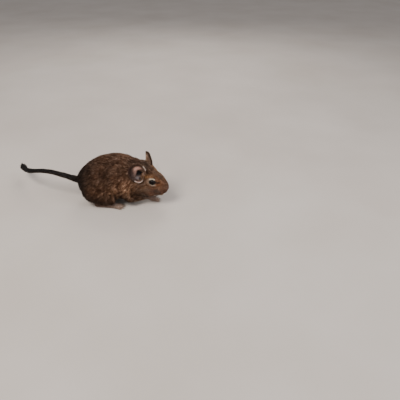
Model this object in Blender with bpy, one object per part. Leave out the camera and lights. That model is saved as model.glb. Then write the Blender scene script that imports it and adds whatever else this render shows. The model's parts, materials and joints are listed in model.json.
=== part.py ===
"""Degu (Octodon degus), adult, life size, crouched with its back arched, its forepaws together under
the chin and its head turned a little to its right.  Row frame: +X is the way the trunk faces, +Y is the
animal's left, +Z is up; the feet stand on z = 0.  All sizes below are millimetres; MM turns them to metres.

The flesh is built as one smooth form out of lofted masses, then parted with thin curved cuts into the
pieces that a person would name.  Ears, eyes, nose pad and paws are made on their own and let into it."""

import math

import bmesh
import bpy
from mathutils import Matrix, Vector

MM = 0.001

# ---------------------------------------------------------------- driving sizes
HEAD_SCALE = 0.97           # the head below is drawn 50 mm long, nose tip to the back of the skull, fur included
NOSE_TIP = (70.2, -14.4, 25.0)
HEAD_YAW, HEAD_PITCH, HEAD_ROLL = -18.5, -20.0, 4.0
BACK_TOP = 65.6             # highest point of the arched back
TRUNK_HALF_WIDTH = 29.0
BELLY_CLEARANCE = 4.6
EYE_RADIUS = 4.1
EYE_AT = (-21.0, 9.3, 6.2)  # ball centre in the head's frame, left side
EAR_THICKNESS = 1.3
EAR_AT = (-40.4, 13.5, 11.3)
EAR_TURN = {1: 44.0, -1: 28.0}   # each ear opens this far ahead of straight out to the side
EAR_BACK = {1: 13.0, -1: 13.0}   # leans this far back in its own plane
EAR_FOLD = {1: 17.0, -1: 4.0}    # and has its tip folded this far back from the opening
EAR_REACH = (6.6, 12.1, 17.6, 16.7, 12.2, 10.1, 9.6, 7.1)   # rim from the ear hole: ahead, then by 45 degrees over the top
EAR_FLARE = (4.4, 3.8, 2.9, 2.9, 5.1, 7.0, 8.2, 7.0)        # how far the same rim stands off the head
HIND_FOOT_AT = (-24.0, 18.4)
FORE_WRIST = {1: (38.5, 10.5, 5.4), -1: (43.0, -4.6, 5.4)}  # left paw a little behind the right
FORE_AIM = {1: -6.0, -1: 8.0}
GAP = 0.32                  # width of the cuts that part one piece from the next
VOXEL = 1.2                 # grain of the form before it is smoothed
FORM_TRIANGLES = 2450


# ---------------------------------------------------------------- frames
def turned(yaw, pitch, roll):
    """Axes of a frame: x ahead, y to the left, z up; yaw to the left, pitch nose up, roll lifts the left side."""
    y, t, r = (math.radians(a) for a in (yaw, pitch, roll))
    ahead = Vector((math.cos(y) * math.cos(t), math.sin(y) * math.cos(t), math.sin(t)))
    left = Vector((-math.sin(y), math.cos(y), 0.0))
    up = ahead.cross(left)
    left, up = left * math.cos(r) + up * math.sin(r), up * math.cos(r) - left * math.sin(r)
    return Matrix((ahead, left, up)).transposed().to_4x4()


HEAD = Matrix.Translation(NOSE_TIP) @ turned(HEAD_YAW, HEAD_PITCH, HEAD_ROLL) @ Matrix.Scale(HEAD_SCALE, 4)
BODY = Matrix.Identity(4)


def in_head(x, y, z):
    return HEAD @ Vector((x, y, z))


# ---------------------------------------------------------------- shape makers
def spline(rows, count):
    """count rows read evenly from a smooth curve through the given rows."""
    out, last = [], len(rows) - 1
    for k in range(count):
        s = k * last / (count - 1)
        i = min(int(s), last - 1)
        t = s - i
        a, b, c, d = (rows[min(max(j, 0), last)] for j in (i - 1, i, i + 1, i + 2))
        out.append(tuple(
            0.5 * (2 * q + (r - p) * t + (2 * p - 5 * q + 4 * r - w) * t * t + (3 * q - p - 3 * r + w) * t ** 3)
            for p, q, r, w in zip(a, b, c, d)))
    return out


def loft(bm, rows, frame=BODY, side=(0, 1, 0), count=26, around=28, square=1.0, upright=False):
    """A closed tube through rows of (x, y, z, half width, height above, depth below); upright keeps its rings square to x."""
    pts = spline(rows, count)
    ctr = [Vector(p[:3]) for p in pts]
    rings = []
    for i, p in enumerate(pts):
        along = Vector((1, 0, 0)) if upright else (ctr[min(i + 1, count - 1)] - ctr[max(i - 1, 0)]).normalized()
        across = Vector(side) - along * along.dot(Vector(side))
        across.normalize()
        up = along.cross(across)
        w, high, low = (max(v, 0.15) for v in p[3:6])
        ring = []
        for k in range(around):
            a = 2 * math.pi * k / around
            c, s = math.cos(a), math.sin(a)
            c = math.copysign(abs(c) ** square, c)
            s = math.copysign(abs(s) ** square, s)
            ring.append(bm.verts.new(frame @ (ctr[i] + across * (w * c) + up * ((high if s > 0 else low) * s))))
        rings.append(ring)
    for a, b in zip(rings, rings[1:]):
        for k in range(around):
            n = (k + 1) % around
            bm.faces.new((a[k], a[n], b[n], b[k]))
    bm.faces.new(rings[0][::-1])
    bm.faces.new(rings[-1])


def ball(bm, at, radii, frame=BODY, turn=Matrix.Identity(4), u=24, v=16):
    m = frame @ Matrix.Translation(at) @ turn @ Matrix.Diagonal((*radii, 1.0))
    bmesh.ops.create_uvsphere(bm, u_segments=u, v_segments=v, radius=1.0, matrix=m)


def mirrored(rows, side):
    return [(r[0], r[1] * side, *r[2:]) for r in rows]


def object_of(bm, name, hidden=False):
    bmesh.ops.recalc_face_normals(bm, faces=bm.faces)
    bmesh.ops.scale(bm, vec=(MM, MM, MM), verts=bm.verts)
    mesh = bpy.data.meshes.new(name)
    bm.to_mesh(mesh)
    bm.free()
    obj = bpy.data.objects.new(name, mesh)
    bpy.context.scene.collection.objects.link(obj)
    if hidden:
        obj.hide_render = True
        obj.display_type = "WIRE"
    return obj


def modifier(obj, kind, **settings):
    mod = obj.modifiers.new(kind.title(), kind)
    for key, value in settings.items():
        setattr(mod, key, value)
    return mod


def applied(obj):
    """The object's own mesh replaced by what its modifiers make of it."""
    bpy.context.view_layer.update()
    graph = bpy.context.evaluated_depsgraph_get()
    mesh = bpy.data.meshes.new_from_object(obj.evaluated_get(graph))
    obj.modifiers.clear()
    obj.data = mesh
    return obj


# ---------------------------------------------------------------- the masses of flesh
def trunk_masses(bm):
    top, wide, low = BACK_TOP, TRUNK_HALF_WIDTH, BELLY_CLEARANCE
    stations = [  # x, sideways, top, bottom, half width
        (-49.2, 0.8, 34, 27, 3.5), (-48, 0.8, 39, 21.5, 9.2), (-45, 0.7, 43, 14.5, 14.5), (-38, 0.5, top - 15.3, low + 3.4, 21.5),
        (-28, 0.2, top - 8.0, low + 1.2, 25.5), (-15, 0, top - 2.6, low, wide - 0.8), (-2, 0, top - 0.4, low, wide),
        (10, -0.4, top + 0.1, low + 1.4, wide - 1.2), (22, -1.4, top - 2.8, low + 3.6, 23.6), (32, -3.2, top - 5.0, low + 6.2, 18.6),
        (42, -5.6, top - 7.4, low + 12, 14.8), (50, -7.6, 52, 24, 9)]
    loft(bm, [(x, y, (t + b) / 2, w, (t - b) / 2, (t - b) / 2) for x, y, t, b, w in stations], count=44, around=40, square=0.97, upright=True)


def haunch_masses(bm, s):
    # thigh, the folded knee and the shank that runs back to the heel
    ball(bm, (-23.0, 16.4 * s, 27.0), (18.5, 13.0, 22.5), turn=Matrix.Rotation(math.radians(24), 4, "Y"))
    loft(bm, mirrored([
        (-28, 17, 29, 11, 16, 16), (-15, 19.5, 22.0, 10.2, 14, 13), (-5, 20.6, 16, 8.2, 11.2, 9.5),
        (0.5, 21.0, 13.5, 5.6, 7.6, 6), (3.2, 21.0, 12.6, 2.6, 4, 3)], s), count=14, around=20)
    loft(bm, mirrored([
        (-1, 22.0, 11.6, 4.2, 5.2, 5), (-9, 21.4, 9.6, 4.8, 5, 5), (-16, 20.4, 7.9, 4.6, 4.6, 4.6),
        (-23, 19.2, 6.2, 3.7, 3.8, 4.2), (-25.5, 18.8, 5.0, 2, 2.2, 2.2)], s), count=14, around=18)


def arm_rows(s, grow=(0.0, 0.0)):
    """The upper arm, the bent elbow and the forearm that reaches in under the throat; grow thickens them from shoulder to wrist."""
    wx, wy, wz = FORE_WRIST[s]
    rows = [
        (13.5, 17.6 * s - 1, 32, 7, 9, 9), (14.5, 18.6 * s - 1, 22, 6.2, 7.8, 7.8), (17, 18.6 * s - 1, 14.6, 5.4, 6.2, 6.2),
        (23, 16.4 * s - 1, 11.2, 4.7, 5.0, 5.0), (0.45 * wx + 14, 10.5 * s + 0.3 * wy, 9.2, 3.7, 4.0, 4.0),
        (wx - 3.5, wy + 1.4 * s, 6.6, 2.9, 2.8, 2.9), (wx + 1, wy + 0.2 * s, 5.2, 2.4, 2.2, 2.4)]
    out = []
    for i, (x, y, z, w, a, b) in enumerate(rows):
        t = i / (len(rows) - 1)
        g = grow[0] * (1 - t) ** 1.5 + grow[1] * (1 - (1 - t) ** 1.5)
        out.append((x, y, z, w + g, a + g, b + g))
    return out


def arm_masses(bm, s):
    ball(bm, (14.5, 16.5 * s - 1.0, 30), (13, 9.5, 16.5), turn=Matrix.Rotation(math.radians(18), 4, "Y"))
    loft(bm, arm_rows(s), count=26, around=18)


def arm_region(name, s):
    """All that counts as the arm: a sleeve round its bones, wide at the shoulder and just clear of the forearm."""
    bm = bmesh.new()
    rows = arm_rows(s, (3.4, 0.9))
    first, last = rows[0], rows[-1]
    rows.insert(0, (first[0] - 0.5, first[1], first[2] + 6, first[3] * 0.9, first[4] * 0.9, first[5] * 0.9))
    rows.append((last[0] + 5, last[1], last[2] - 1.5, last[3], last[4], last[5]))
    loft(bm, rows, count=24, around=16)
    obj = object_of(bm, name, hidden=True)
    modifier(obj, "REMESH", mode="VOXEL", voxel_size=1.5 * MM)
    modifier(obj, "SMOOTH", factor=0.5, iterations=3)
    modifier(obj, "TRIANGULATE")
    modifier(obj, "DECIMATE", ratio=0.085)
    return applied(obj)


def grown(obj, name):
    """A helper GAP larger than the object all round."""
    copy = bpy.data.objects.new(name, obj.data.copy())
    bpy.context.scene.collection.objects.link(copy)
    copy.hide_render = True
    copy.display_type = "WIRE"
    modifier(copy, "DISPLACE", strength=GAP * MM, mid_level=0.0)
    return applied(copy)


def head_masses(bm):
    f = HEAD
    # x from the nose tip back, y, middle height, half width, above, below
    loft(bm, [
        (0.3, 0, -1.0, 2.4, 2.9, 3.8), (-1.2, 0, -1.0, 4.8, 5.8, 7.4), (-4.5, 0, -1.0, 7.2, 8.9, 10.8),
        (-9.5, 0, -0.8, 9.6, 11.9, 12.7), (-15, 0, -0.6, 11.8, 14.3, 14.8), (-21, 0, -0.6, 13.5, 15.9, 17.4),
        (-28, 0, -0.6, 15.6, 16.9, 20.4), (-35, 0, -0.5, 16.6, 17.3, 22.2), (-42, 0, -0.2, 16.4, 17.3, 23.2),
        (-49, 0, 0, 15.0, 15.5, 21.5), (-55, 0, 0, 10, 11, 14)], frame=f, count=34, around=36, square=0.95, upright=True)
    for s in (1, -1):
        # whisker pad, cheek, the ridge over the eye, the side of the crown, and the bulge of the jaw muscle
        ball(bm, (-8.4, 4.9 * s, -4.2), (6.4, 4.9, 6.2), f)
        ball(bm, (-24, 9.0 * s, -8.6), (12, 7.4, 11.4), f)
        ball(bm, (-22, 7.0 * s, 7.8), (11.0, 4.6, 4.2), f)
        ball(bm, (-31, 6.0 * s, 8.6), (10.0, 6.4, 8.2), f)
        ball(bm, (-34, 9.8 * s, -10.4), (11.6, 8.2, 13.4), f)
    # lower lip and chin
    loft(bm, [(-3.6, 0, -11.8, 2.2, 2.0, 1.8), (-5.6, 0, -12.4, 4.2, 2.8, 2.6), (-12.0, 0, -13.4, 6.4, 4, 3.6),
              (-21, 0, -15, 8.2, 5, 4.4), (-30, 0, -16, 9, 5, 5)], frame=f, count=16, around=18)


TAIL_ROWS = [  # along the tail, with its radius: a gentle rise behind the rump, then down to the tufted end
    (-42.0, 0.6, 29.0, 7.0), (-49.0, 0.8, 30.4, 4.9), (-58.0, 1.4, 32.4, 3.6), (-70.0, 3.0, 35.6, 3.2),
    (-83.0, 6.0, 37.8, 3.0), (-97.0, 12.0, 36.8, 2.9), (-111.0, 20.6, 32.4, 3.0), (-124.0, 31.4, 26.6, 3.5),
    (-134.0, 42.6, 22.0, 4.3), (-141.0, 52.6, 19.2, 4.3), (-146.0, 60.8, 17.8, 2.6), (-148.4, 64.8, 17.4, 0.9)]


def tail_masses(bm):
    loft(bm, [(x, y, z, r, r, r) for x, y, z, r in TAIL_ROWS], side=(0.3, 1, 0), count=44, around=16)


def toes(bm, root, aim, spread, lengths, radius, lift):
    """Toes that fan out from root, each with its claw, and their bodies."""
    n = len(lengths)
    for k, size in enumerate(lengths):
        a = aim + spread * (k - (n - 1) / 2)
        d = Vector((math.cos(a), math.sin(a), 0))
        q = Vector((-math.sin(a), math.cos(a), 0))
        base = Vector(root) + Vector((-math.sin(aim), math.cos(aim), 0)) * (k - (n - 1) / 2) * radius * 1.75
        rows = []
        for t, high, r in ((-0.25, lift, 1.0), (0.15, lift * 1.05, 0.98), (0.5, lift * 0.84, 0.86), (0.78, radius * 0.66, 0.86),
                           (0.93, radius * 0.56, 0.62)):
            c = base + d * size * t
            rows.append((c.x, c.y, high, radius * r, radius * r, radius * r))
        loft(bm, rows, side=q, count=12, around=12)
        rows = []
        for t, high, r in ((0.84, radius * 0.85, 0.5), (1.0, radius * 0.9, 0.42), (1.16, radius * 0.62, 0.26), (1.28, radius * 0.2, 0.12)):
            c = base + d * size * t
            rows.append((c.x, c.y, high + 0.25, max(radius * r, 0.3), max(radius * r, 0.3), max(radius * r, 0.3)))
        loft(bm, rows, side=q, count=8, around=8)


def forefoot_masses(bm, s):
    wrist, aim = Vector(FORE_WRIST[s]), math.radians(FORE_AIM[s])
    d = Vector((math.cos(aim), math.sin(aim), 0))
    q = Vector((-math.sin(aim), math.cos(aim), 0))
    rows = []
    for t, high, w, u, below in ((-1.5, 5.6, 2.3, 2.3, 2.6), (1.5, 4.8, 2.7, 2.2, 3.0), (4.5, 3.3, 3.5, 2.1, 3.4), (7.0, 2.4, 3.8, 1.9, 2.9),
                                 (9.0, 2.0, 3.2, 1.5, 2.0)):
        c = wrist + d * t
        rows.append((c.x, c.y, high, w, u, below))
    loft(bm, rows, side=q, count=14, around=16)
    toes(bm, wrist + d * 7.4, aim, math.radians(12), (5.6, 7.0, 6.8, 5.2), 1.12, 2.0)


def hindfoot_masses(bm, s):
    heel, aim = Vector((HIND_FOOT_AT[0], HIND_FOOT_AT[1] * s, 0)), math.radians(4.0 * s)
    d = Vector((math.cos(aim), math.sin(aim), 0))
    q = Vector((-math.sin(aim), math.cos(aim), 0))
    rows = []
    for t, high, w, u in ((-1.6, 4.2, 1.6, 1.6), (0.5, 4.0, 2.9, 3.0), (5, 3.4, 3.2, 3.0), (12, 3.0, 3.4, 2.6), (19, 2.7, 4.0, 2.3),
                          (24, 2.4, 4.5, 2.0), (27.5, 2.1, 3.9, 1.6)):
        c = heel + d * t
        rows.append((c.x, c.y, high, w, u, u + 0.9))
    loft(bm, rows, side=q, count=20, around=18)
    sizes = (7.4, 9.3, 9.9, 9.2, 7.0)
    toes(bm, heel + d * 25.4, aim, math.radians(7), sizes if s > 0 else sizes[::-1], 1.22, 2.1)


# ---------------------------------------------------------------- ears
def ear_frame(s):
    """y out through the opening, z up, x across towards the face; the ear hole is the origin."""
    return (HEAD @ Matrix.Diagonal((1, s, 1, 1)) @ Matrix.Translation(EAR_AT)
            @ Matrix.Rotation(math.radians(-EAR_TURN[s]), 4, "Z") @ Matrix.Rotation(math.radians(EAR_FOLD[s]), 4, "X")
            @ Matrix.Rotation(math.radians(-EAR_BACK[s]), 4, "Y"))


def round_the_rim(values, phi):
    """A smooth closed curve through eight values, 45 degrees apart."""
    k = (phi / (math.pi / 4)) % 8
    i, t = int(k), k - int(k)
    p, q, r, w = (values[(i + j) % 8] for j in (-1, 0, 1, 2))
    return 0.5 * (2 * q + (r - p) * t + (2 * p - 5 * q + 4 * r - w) * t * t + (3 * q - p - 3 * r + w) * t ** 3)


def ear_point(phi, t, lift=0.0):
    """The cup of the ear: phi runs round the hole, t from the floor of the cup (0) out to the rim (1)."""
    reach = round_the_rim(EAR_REACH, phi) * t ** 0.85
    flare = round_the_rim(EAR_FLARE, phi) * t ** 1.5 - 2.2 * (1 - t) ** 2
    return Vector((reach * math.cos(phi), flare + lift, reach * math.sin(phi)))


def ear_object(s, name, around=20, steps=5):
    bm = bmesh.new()
    f = ear_frame(s)
    hub = bm.verts.new(f @ ear_point(0, 0))
    rings = [[bm.verts.new(f @ ear_point(2 * math.pi * k / around, (j + 1) / steps)) for k in range(around)] for j in range(steps)]
    for k in range(around):
        n = (k + 1) % around
        bm.faces.new((hub, rings[0][k], rings[0][n]))
        for a, b in zip(rings, rings[1:]):
            bm.faces.new((a[k], b[k], b[n], a[n]))
    obj = object_of(bm, name)
    modifier(obj, "SOLIDIFY", thickness=EAR_THICKNESS * MM, offset=0.0, use_even_offset=False)
    return applied(obj)


# ---------------------------------------------------------------- cuts
def bowl(name, frame, at, radii, towards, opening):
    """A thin bowl: the part of an ellipsoid within `opening` degrees of the direction `towards`, GAP thick."""
    bm = bmesh.new()
    pole = Vector(towards).normalized()
    basis = pole.to_track_quat("Z", "Y").to_matrix().to_4x4()
    rings, around, steps = [], 18, 5
    for grow in (0.0, GAP):
        shells = []
        for j in range(steps + 1):
            th = math.radians(opening) * j / steps
            ring = []
            for k in range(around if j else 1):
                ph = 2 * math.pi * k / around
                d = basis @ Vector((math.sin(th) * math.cos(ph), math.sin(th) * math.sin(ph), math.cos(th)))
                p = Vector(at) + Vector([(r + grow) * c for r, c in zip(radii, d)])
                ring.append(bm.verts.new(frame @ p))
            shells.append(ring)
        rings.append(shells)
    for shells in rings:
        for a, b in zip(shells, shells[1:]):
            for k in range(around):
                n = (k + 1) % around
                bm.faces.new((a[0], b[k], b[n]) if len(a) == 1 else (a[k], b[k], b[n], a[n]))
    inner, outer = rings[0][-1], rings[1][-1]
    for k in range(around):
        n = (k + 1) % around
        bm.faces.new((inner[k], inner[n], outer[n], outer[k]))
    return object_of(bm, name, hidden=True)


def disc(name, at, normal, radius):
    """A thin flat disc, GAP thick."""
    bm = bmesh.new()
    turn = Vector(normal).normalized().to_track_quat("Z", "Y").to_matrix().to_4x4()
    bmesh.ops.create_cone(bm, cap_ends=True, segments=24, radius1=radius, radius2=radius, depth=GAP,
                          matrix=Matrix.Translation(at) @ turn)
    return object_of(bm, name, hidden=True)


def tail_point(share):
    rows = spline(TAIL_ROWS, 101)
    i = min(int(share * 100), 99)
    a, b = Vector(rows[i][:3]), Vector(rows[i + 1][:3])
    return a, (b - a).normalized()


def cut(obj, cutter, operation="DIFFERENCE"):
    modifier(obj, "BOOLEAN", object=cutter, operation=operation, solver="EXACT")


def split(obj):
    """The separate closed pieces of a mesh, each as (centre, volume, bmesh)."""
    bm = bmesh.new()
    bm.from_mesh(obj.data)
    bmesh.ops.scale(bm, vec=(1 / MM,) * 3, verts=bm.verts)
    bm.verts.ensure_lookup_table()
    seen, groups = set(), []
    for v in bm.verts:
        if v.index in seen:
            continue
        stack, group = [v], []
        seen.add(v.index)
        while stack:
            w = stack.pop()
            group.append(w)
            for e in w.link_edges:
                o = e.other_vert(w)
                if o.index not in seen:
                    seen.add(o.index)
                    stack.append(o)
        groups.append(group)
    out = []
    for group in groups:
        new, twin = bmesh.new(), {}
        for v in group:
            twin[v.index] = new.verts.new(v.co)
        done = set()
        for v in group:
            for face in v.link_faces:
                if face.index not in done:
                    done.add(face.index)
                    new.faces.new([twin[w.index] for w in face.verts])
        centre = sum((v.co for v in new.verts), Vector()) / max(len(new.verts), 1)
        out.append((centre, new.calc_volume(), new))
    bm.free()
    return out


def largest(obj):
    """The object's modifiers applied, and all but its largest closed piece dropped."""
    applied(obj)
    keep = max(split(obj), key=lambda p: p[1])[2]
    name = obj.name
    bpy.data.objects.remove(obj)
    return object_of(keep, name)


# ---------------------------------------------------------------- materials
def material(name, colour, rough):
    m = bpy.data.materials.new(name)
    m.use_nodes = True
    p = m.node_tree.nodes["Principled BSDF"]
    p.inputs["Base Color"].default_value = (*colour, 1)
    p.inputs["Roughness"].default_value = rough
    p.inputs["Metallic"].default_value = 0.0
    return m


def finish(obj, mat, smooth=True):
    obj.data.materials.clear()
    obj.data.materials.append(mat)
    if smooth:
        obj.data.shade_smooth()
        obj.data.set_sharp_from_angle(angle=math.radians(50))


def main():
    for old in list(bpy.data.objects):
        bpy.data.objects.remove(old)

    coat = material("coat_brown", (0.060, 0.036, 0.023), 0.85)
    face = material("face_brown", (0.085, 0.047, 0.028), 0.85)
    tail_coat = material("tail_black", (0.016, 0.013, 0.012), 0.8)
    ear_skin = material("ear_skin", (0.12, 0.080, 0.068), 0.7)
    paw_skin = material("paw_grey", (0.16, 0.120, 0.110), 0.7)
    eye_black = material("eye_black", (0.008, 0.006, 0.005), 0.08)
    nose_skin = material("nose_skin", (0.10, 0.062, 0.055), 0.6)

    # one smooth form of all the flesh but the ears and paws
    bm = bmesh.new()
    trunk_masses(bm)
    head_masses(bm)
    for s in (1, -1):
        haunch_masses(bm, s)
        arm_masses(bm, s)
    tail_masses(bm)
    form = object_of(bm, "form")
    modifier(form, "REMESH", mode="VOXEL", voxel_size=VOXEL * MM)
    modifier(form, "SMOOTH", factor=0.5, iterations=9)
    applied(form)
    ratio = FORM_TRIANGLES / (2 * len(form.data.polygons))
    modifier(form, "TRIANGULATE")
    modifier(form, "DECIMATE", ratio=ratio)
    applied(form)

    # an outline GAP larger, which ears, paws and nose are cut back by
    skin = grown(form, "form_outline")

    # the arms are taken off first, each with what lies inside its sleeve
    pieces = {}
    sleeves = {}
    for s, side in ((1, "left"), (-1, "right")):
        arm = bpy.data.objects.new("arm", form.data.copy())
        bpy.context.scene.collection.objects.link(arm)
        sleeves[side] = arm_region("sleeve_" + side, s)
        cut(arm, sleeves[side], "INTERSECT")
        pieces[side + "_foreleg"] = largest(arm)
    for s, side in ((1, "left"), (-1, "right")):
        cut(form, grown(sleeves[side], "sleeve_outline_" + side))
        # socket for the eye
        bm = bmesh.new()
        ball(bm, (EYE_AT[0], EYE_AT[1] * s, EYE_AT[2]), ((EYE_RADIUS + GAP) / HEAD_SCALE,) * 3, HEAD, u=14, v=8)
        cut(form, object_of(bm, "socket_" + side, hidden=True))
        cut(form, bowl("cut_haunch_" + side, BODY, (-22, 27.0 * s, 22), (29, 18, 27), (0, -s, 0.15), 112))
    # the head, a collar of neck behind it, and the tail's lengths
    cut(form, bowl("cut_head", HEAD, (-19, 0, -1), (28, 27, 26), (-1, 0, 0), 140))
    cut(form, bowl("cut_neck", HEAD, (-27, 0, 1.0), (32, 34, 31), (-1, 0, 0.1), 122))
    for k, share in enumerate((0.155, 0.42, 0.72)):
        p, d = tail_point(share)
        cut(form, disc("cut_tail_%d" % k, p, d, 8.5))
    applied(form)

    # a place near the middle of each piece tells which is which
    seeds = {"head": in_head(-22, 0, 0), "neck": in_head(-48, 0, 2), "trunk": Vector((-7, 0, 31)),
             "left_hindleg": Vector((-18, 20, 22)), "right_hindleg": Vector((-18, -20, 22)),
             "tail_root": tail_point(0.28)[0], "tail_middle": tail_point(0.57)[0], "tail_end": tail_point(0.86)[0]}
    loose = split(form)
    print("loose", sorted((round(p[1]), tuple(round(c) for c in p[0])) for p in loose))
    for name, place in seeds.items():
        near = min((p for p in loose if p[1] > 500), key=lambda p: (place - p[0]).length)
        loose.remove(near)
        pieces[name] = object_of(near[2], name)
    bpy.data.objects.remove(form)
    for name, obj in pieces.items():
        obj.name = name
        finish(obj, face if name == "head" else tail_coat if name.startswith("tail") else coat)

    floor = bmesh.new()
    bmesh.ops.create_cube(floor, size=1.0, matrix=Matrix.Translation((0, 0, -20)) @ Matrix.Diagonal((400, 400, 40, 1)))
    floor = object_of(floor, "floor_cutter", hidden=True)

    # paws: one smooth form each, cut flat under the pads and cut back from the leg they carry
    for s, side in ((1, "left"), (-1, "right")):
        for kind, masses, tris in (("forefoot", forefoot_masses, 280), ("hindfoot", hindfoot_masses, 330)):
            bm = bmesh.new()
            masses(bm, s)
            paw = object_of(bm, side + "_" + kind)
            modifier(paw, "REMESH", mode="VOXEL", voxel_size=0.34 * MM)
            modifier(paw, "SMOOTH", factor=0.5, iterations=3)
            applied(paw)
            ratio = tris / (2 * len(paw.data.polygons))
            modifier(paw, "TRIANGULATE")
            modifier(paw, "DECIMATE", ratio=ratio)
            cut(paw, floor)
            cut(paw, skin)
            finish(largest(paw), paw_skin)

    for s, side in ((1, "left"), (-1, "right")):
        ear = ear_object(s, side + "_ear")
        cut(ear, skin)
        finish(largest(ear), ear_skin)
        bm = bmesh.new()
        ball(bm, (EYE_AT[0], EYE_AT[1] * s, EYE_AT[2]), (EYE_RADIUS / HEAD_SCALE,) * 3, HEAD, u=14, v=8)
        finish(object_of(bm, side + "_eye"), eye_black)

    # nose pad: a small saddle over the tip of the muzzle
    bm = bmesh.new()
    ball(bm, (-1.6, 0, 0.6), (2.9, 3.0, 2.7), HEAD, u=14, v=10)
    nose = object_of(bm, "nose")
    cut(nose, skin)
    finish(largest(nose), nose_skin)

    for helper in [o for o in bpy.data.objects if o.hide_render]:
        bpy.data.objects.remove(helper)
    # the origin goes to the middle of the bounding box's underside
    nodes = list(bpy.data.objects)
    spots = [v.co for o in nodes for v in o.data.vertices]
    low = [min(p[i] for p in spots) for i in range(3)]
    high = [max(p[i] for p in spots) for i in range(3)]
    shift = Vector((-(low[0] + high[0]) / 2, -(low[1] + high[1]) / 2, -low[2]))
    for o in nodes:
        o.data.transform(Matrix.Translation(shift))
    print("shift", tuple(round(c / MM, 3) for c in shift))
    print("triangles", {o.name: sum(len(p.vertices) - 2 for p in o.data.polygons) for o in nodes})


if __name__ == "__main__":
    main()
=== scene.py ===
"""Looks of the degu: one skin over the whole body, a coat of short tufts, eyes, claws and whiskers, floor, light and camera.

Working units are millimetres in the design frame (ground point under the trunk = 0); placed() turns them into the row frame."""

import json
import math

import bmesh
import bpy
import numpy as np
from mathutils import Matrix, Vector
from mathutils.bvhtree import BVHTree
from mathutils.kdtree import KDTree

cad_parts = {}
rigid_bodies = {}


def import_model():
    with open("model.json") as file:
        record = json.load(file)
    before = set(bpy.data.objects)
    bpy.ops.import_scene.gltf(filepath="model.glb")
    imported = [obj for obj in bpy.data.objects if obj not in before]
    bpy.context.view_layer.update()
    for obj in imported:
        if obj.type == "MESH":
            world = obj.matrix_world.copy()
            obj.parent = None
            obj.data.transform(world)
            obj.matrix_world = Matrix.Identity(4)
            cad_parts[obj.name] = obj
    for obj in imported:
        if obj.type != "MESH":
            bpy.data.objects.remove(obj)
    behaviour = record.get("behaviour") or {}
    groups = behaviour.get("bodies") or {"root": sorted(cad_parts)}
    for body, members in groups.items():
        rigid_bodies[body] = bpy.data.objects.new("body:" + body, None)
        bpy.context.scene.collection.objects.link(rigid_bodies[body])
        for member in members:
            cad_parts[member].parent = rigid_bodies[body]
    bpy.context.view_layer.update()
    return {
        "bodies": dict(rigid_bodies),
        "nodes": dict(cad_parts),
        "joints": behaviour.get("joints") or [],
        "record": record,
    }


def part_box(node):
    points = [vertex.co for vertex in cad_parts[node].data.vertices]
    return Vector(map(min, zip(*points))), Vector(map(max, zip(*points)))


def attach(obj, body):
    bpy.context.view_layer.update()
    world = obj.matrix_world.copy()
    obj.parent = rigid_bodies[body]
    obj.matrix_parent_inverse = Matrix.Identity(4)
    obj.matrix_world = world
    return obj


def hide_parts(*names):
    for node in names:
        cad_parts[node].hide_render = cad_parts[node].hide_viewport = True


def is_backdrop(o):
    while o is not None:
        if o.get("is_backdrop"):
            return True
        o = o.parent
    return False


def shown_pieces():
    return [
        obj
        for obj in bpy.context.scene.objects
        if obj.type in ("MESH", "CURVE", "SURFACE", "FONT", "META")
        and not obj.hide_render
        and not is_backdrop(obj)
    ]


for old in list(bpy.data.objects):
    bpy.data.objects.remove(old)
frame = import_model()
MM = 0.001
SEED = 7
CLAWS = None                # while the feet are made, the mesh that their claws go to

# ---------------------------------------------------------------- the same driving sizes as the solids
HEAD_SCALE = 0.97           # the head below is drawn 50 mm long, nose tip to the back of the skull, fur included
NOSE_TIP = (70.2, -14.4, 25.0)
HEAD_YAW, HEAD_PITCH, HEAD_ROLL = -18.5, -20.0, 4.0
BACK_TOP = 65.6             # highest point of the arched back
TRUNK_HALF_WIDTH = 29.0
BELLY_CLEARANCE = 4.6
EYE_RADIUS = 4.1
EYE_AT = (-21.0, 9.3, 6.2)  # ball centre in the head's frame, left side
EAR_THICKNESS = 1.3
EAR_AT = (-40.4, 13.5, 11.3)
EAR_TURN = {1: 44.0, -1: 28.0}   # each ear opens this far ahead of straight out to the side
EAR_BACK = {1: 13.0, -1: 13.0}   # leans this far back in its own plane
EAR_FOLD = {1: 17.0, -1: 4.0}    # and has its tip folded this far back from the opening
EAR_REACH = (6.6, 12.1, 17.6, 16.7, 12.2, 10.1, 9.6, 7.1)   # rim from the ear hole: ahead, then by 45 degrees over the top
EAR_FLARE = (4.4, 3.8, 2.9, 2.9, 5.1, 7.0, 8.2, 7.0)        # how far the same rim stands off the head
HIND_FOOT_AT = (-24.0, 18.4)
FORE_WRIST = {1: (38.5, 10.5, 5.4), -1: (43.0, -4.6, 5.4)}  # left paw a little behind the right
FORE_AIM = {1: -6.0, -1: 8.0}
# ---------------------------------------------------------------- looks only
SKIN_GRAIN = 0.5            # grain of the skin's mesh
COAT_DEPTH = 2.5            # how far the skin lies inside the coat's outline on the trunk
TUFTS = 248000
TUFTS_IN_A_PIECE = 31000


def turned(yaw, pitch, roll):
    """Axes of a frame: x ahead, y to the left, z up; yaw to the left, pitch nose up, roll lifts the left side."""
    y, t, r = (math.radians(a) for a in (yaw, pitch, roll))
    ahead = Vector((math.cos(y) * math.cos(t), math.sin(y) * math.cos(t), math.sin(t)))
    left = Vector((-math.sin(y), math.cos(y), 0.0))
    up = ahead.cross(left)
    left, up = left * math.cos(r) + up * math.sin(r), up * math.cos(r) - left * math.sin(r)
    return Matrix((ahead, left, up)).transposed().to_4x4()


HEAD = Matrix.Translation(NOSE_TIP) @ turned(HEAD_YAW, HEAD_PITCH, HEAD_ROLL) @ Matrix.Scale(HEAD_SCALE, 4)
BODY = Matrix.Identity(4)


def in_head(x, y, z):
    return HEAD @ Vector((x, y, z))

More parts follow.
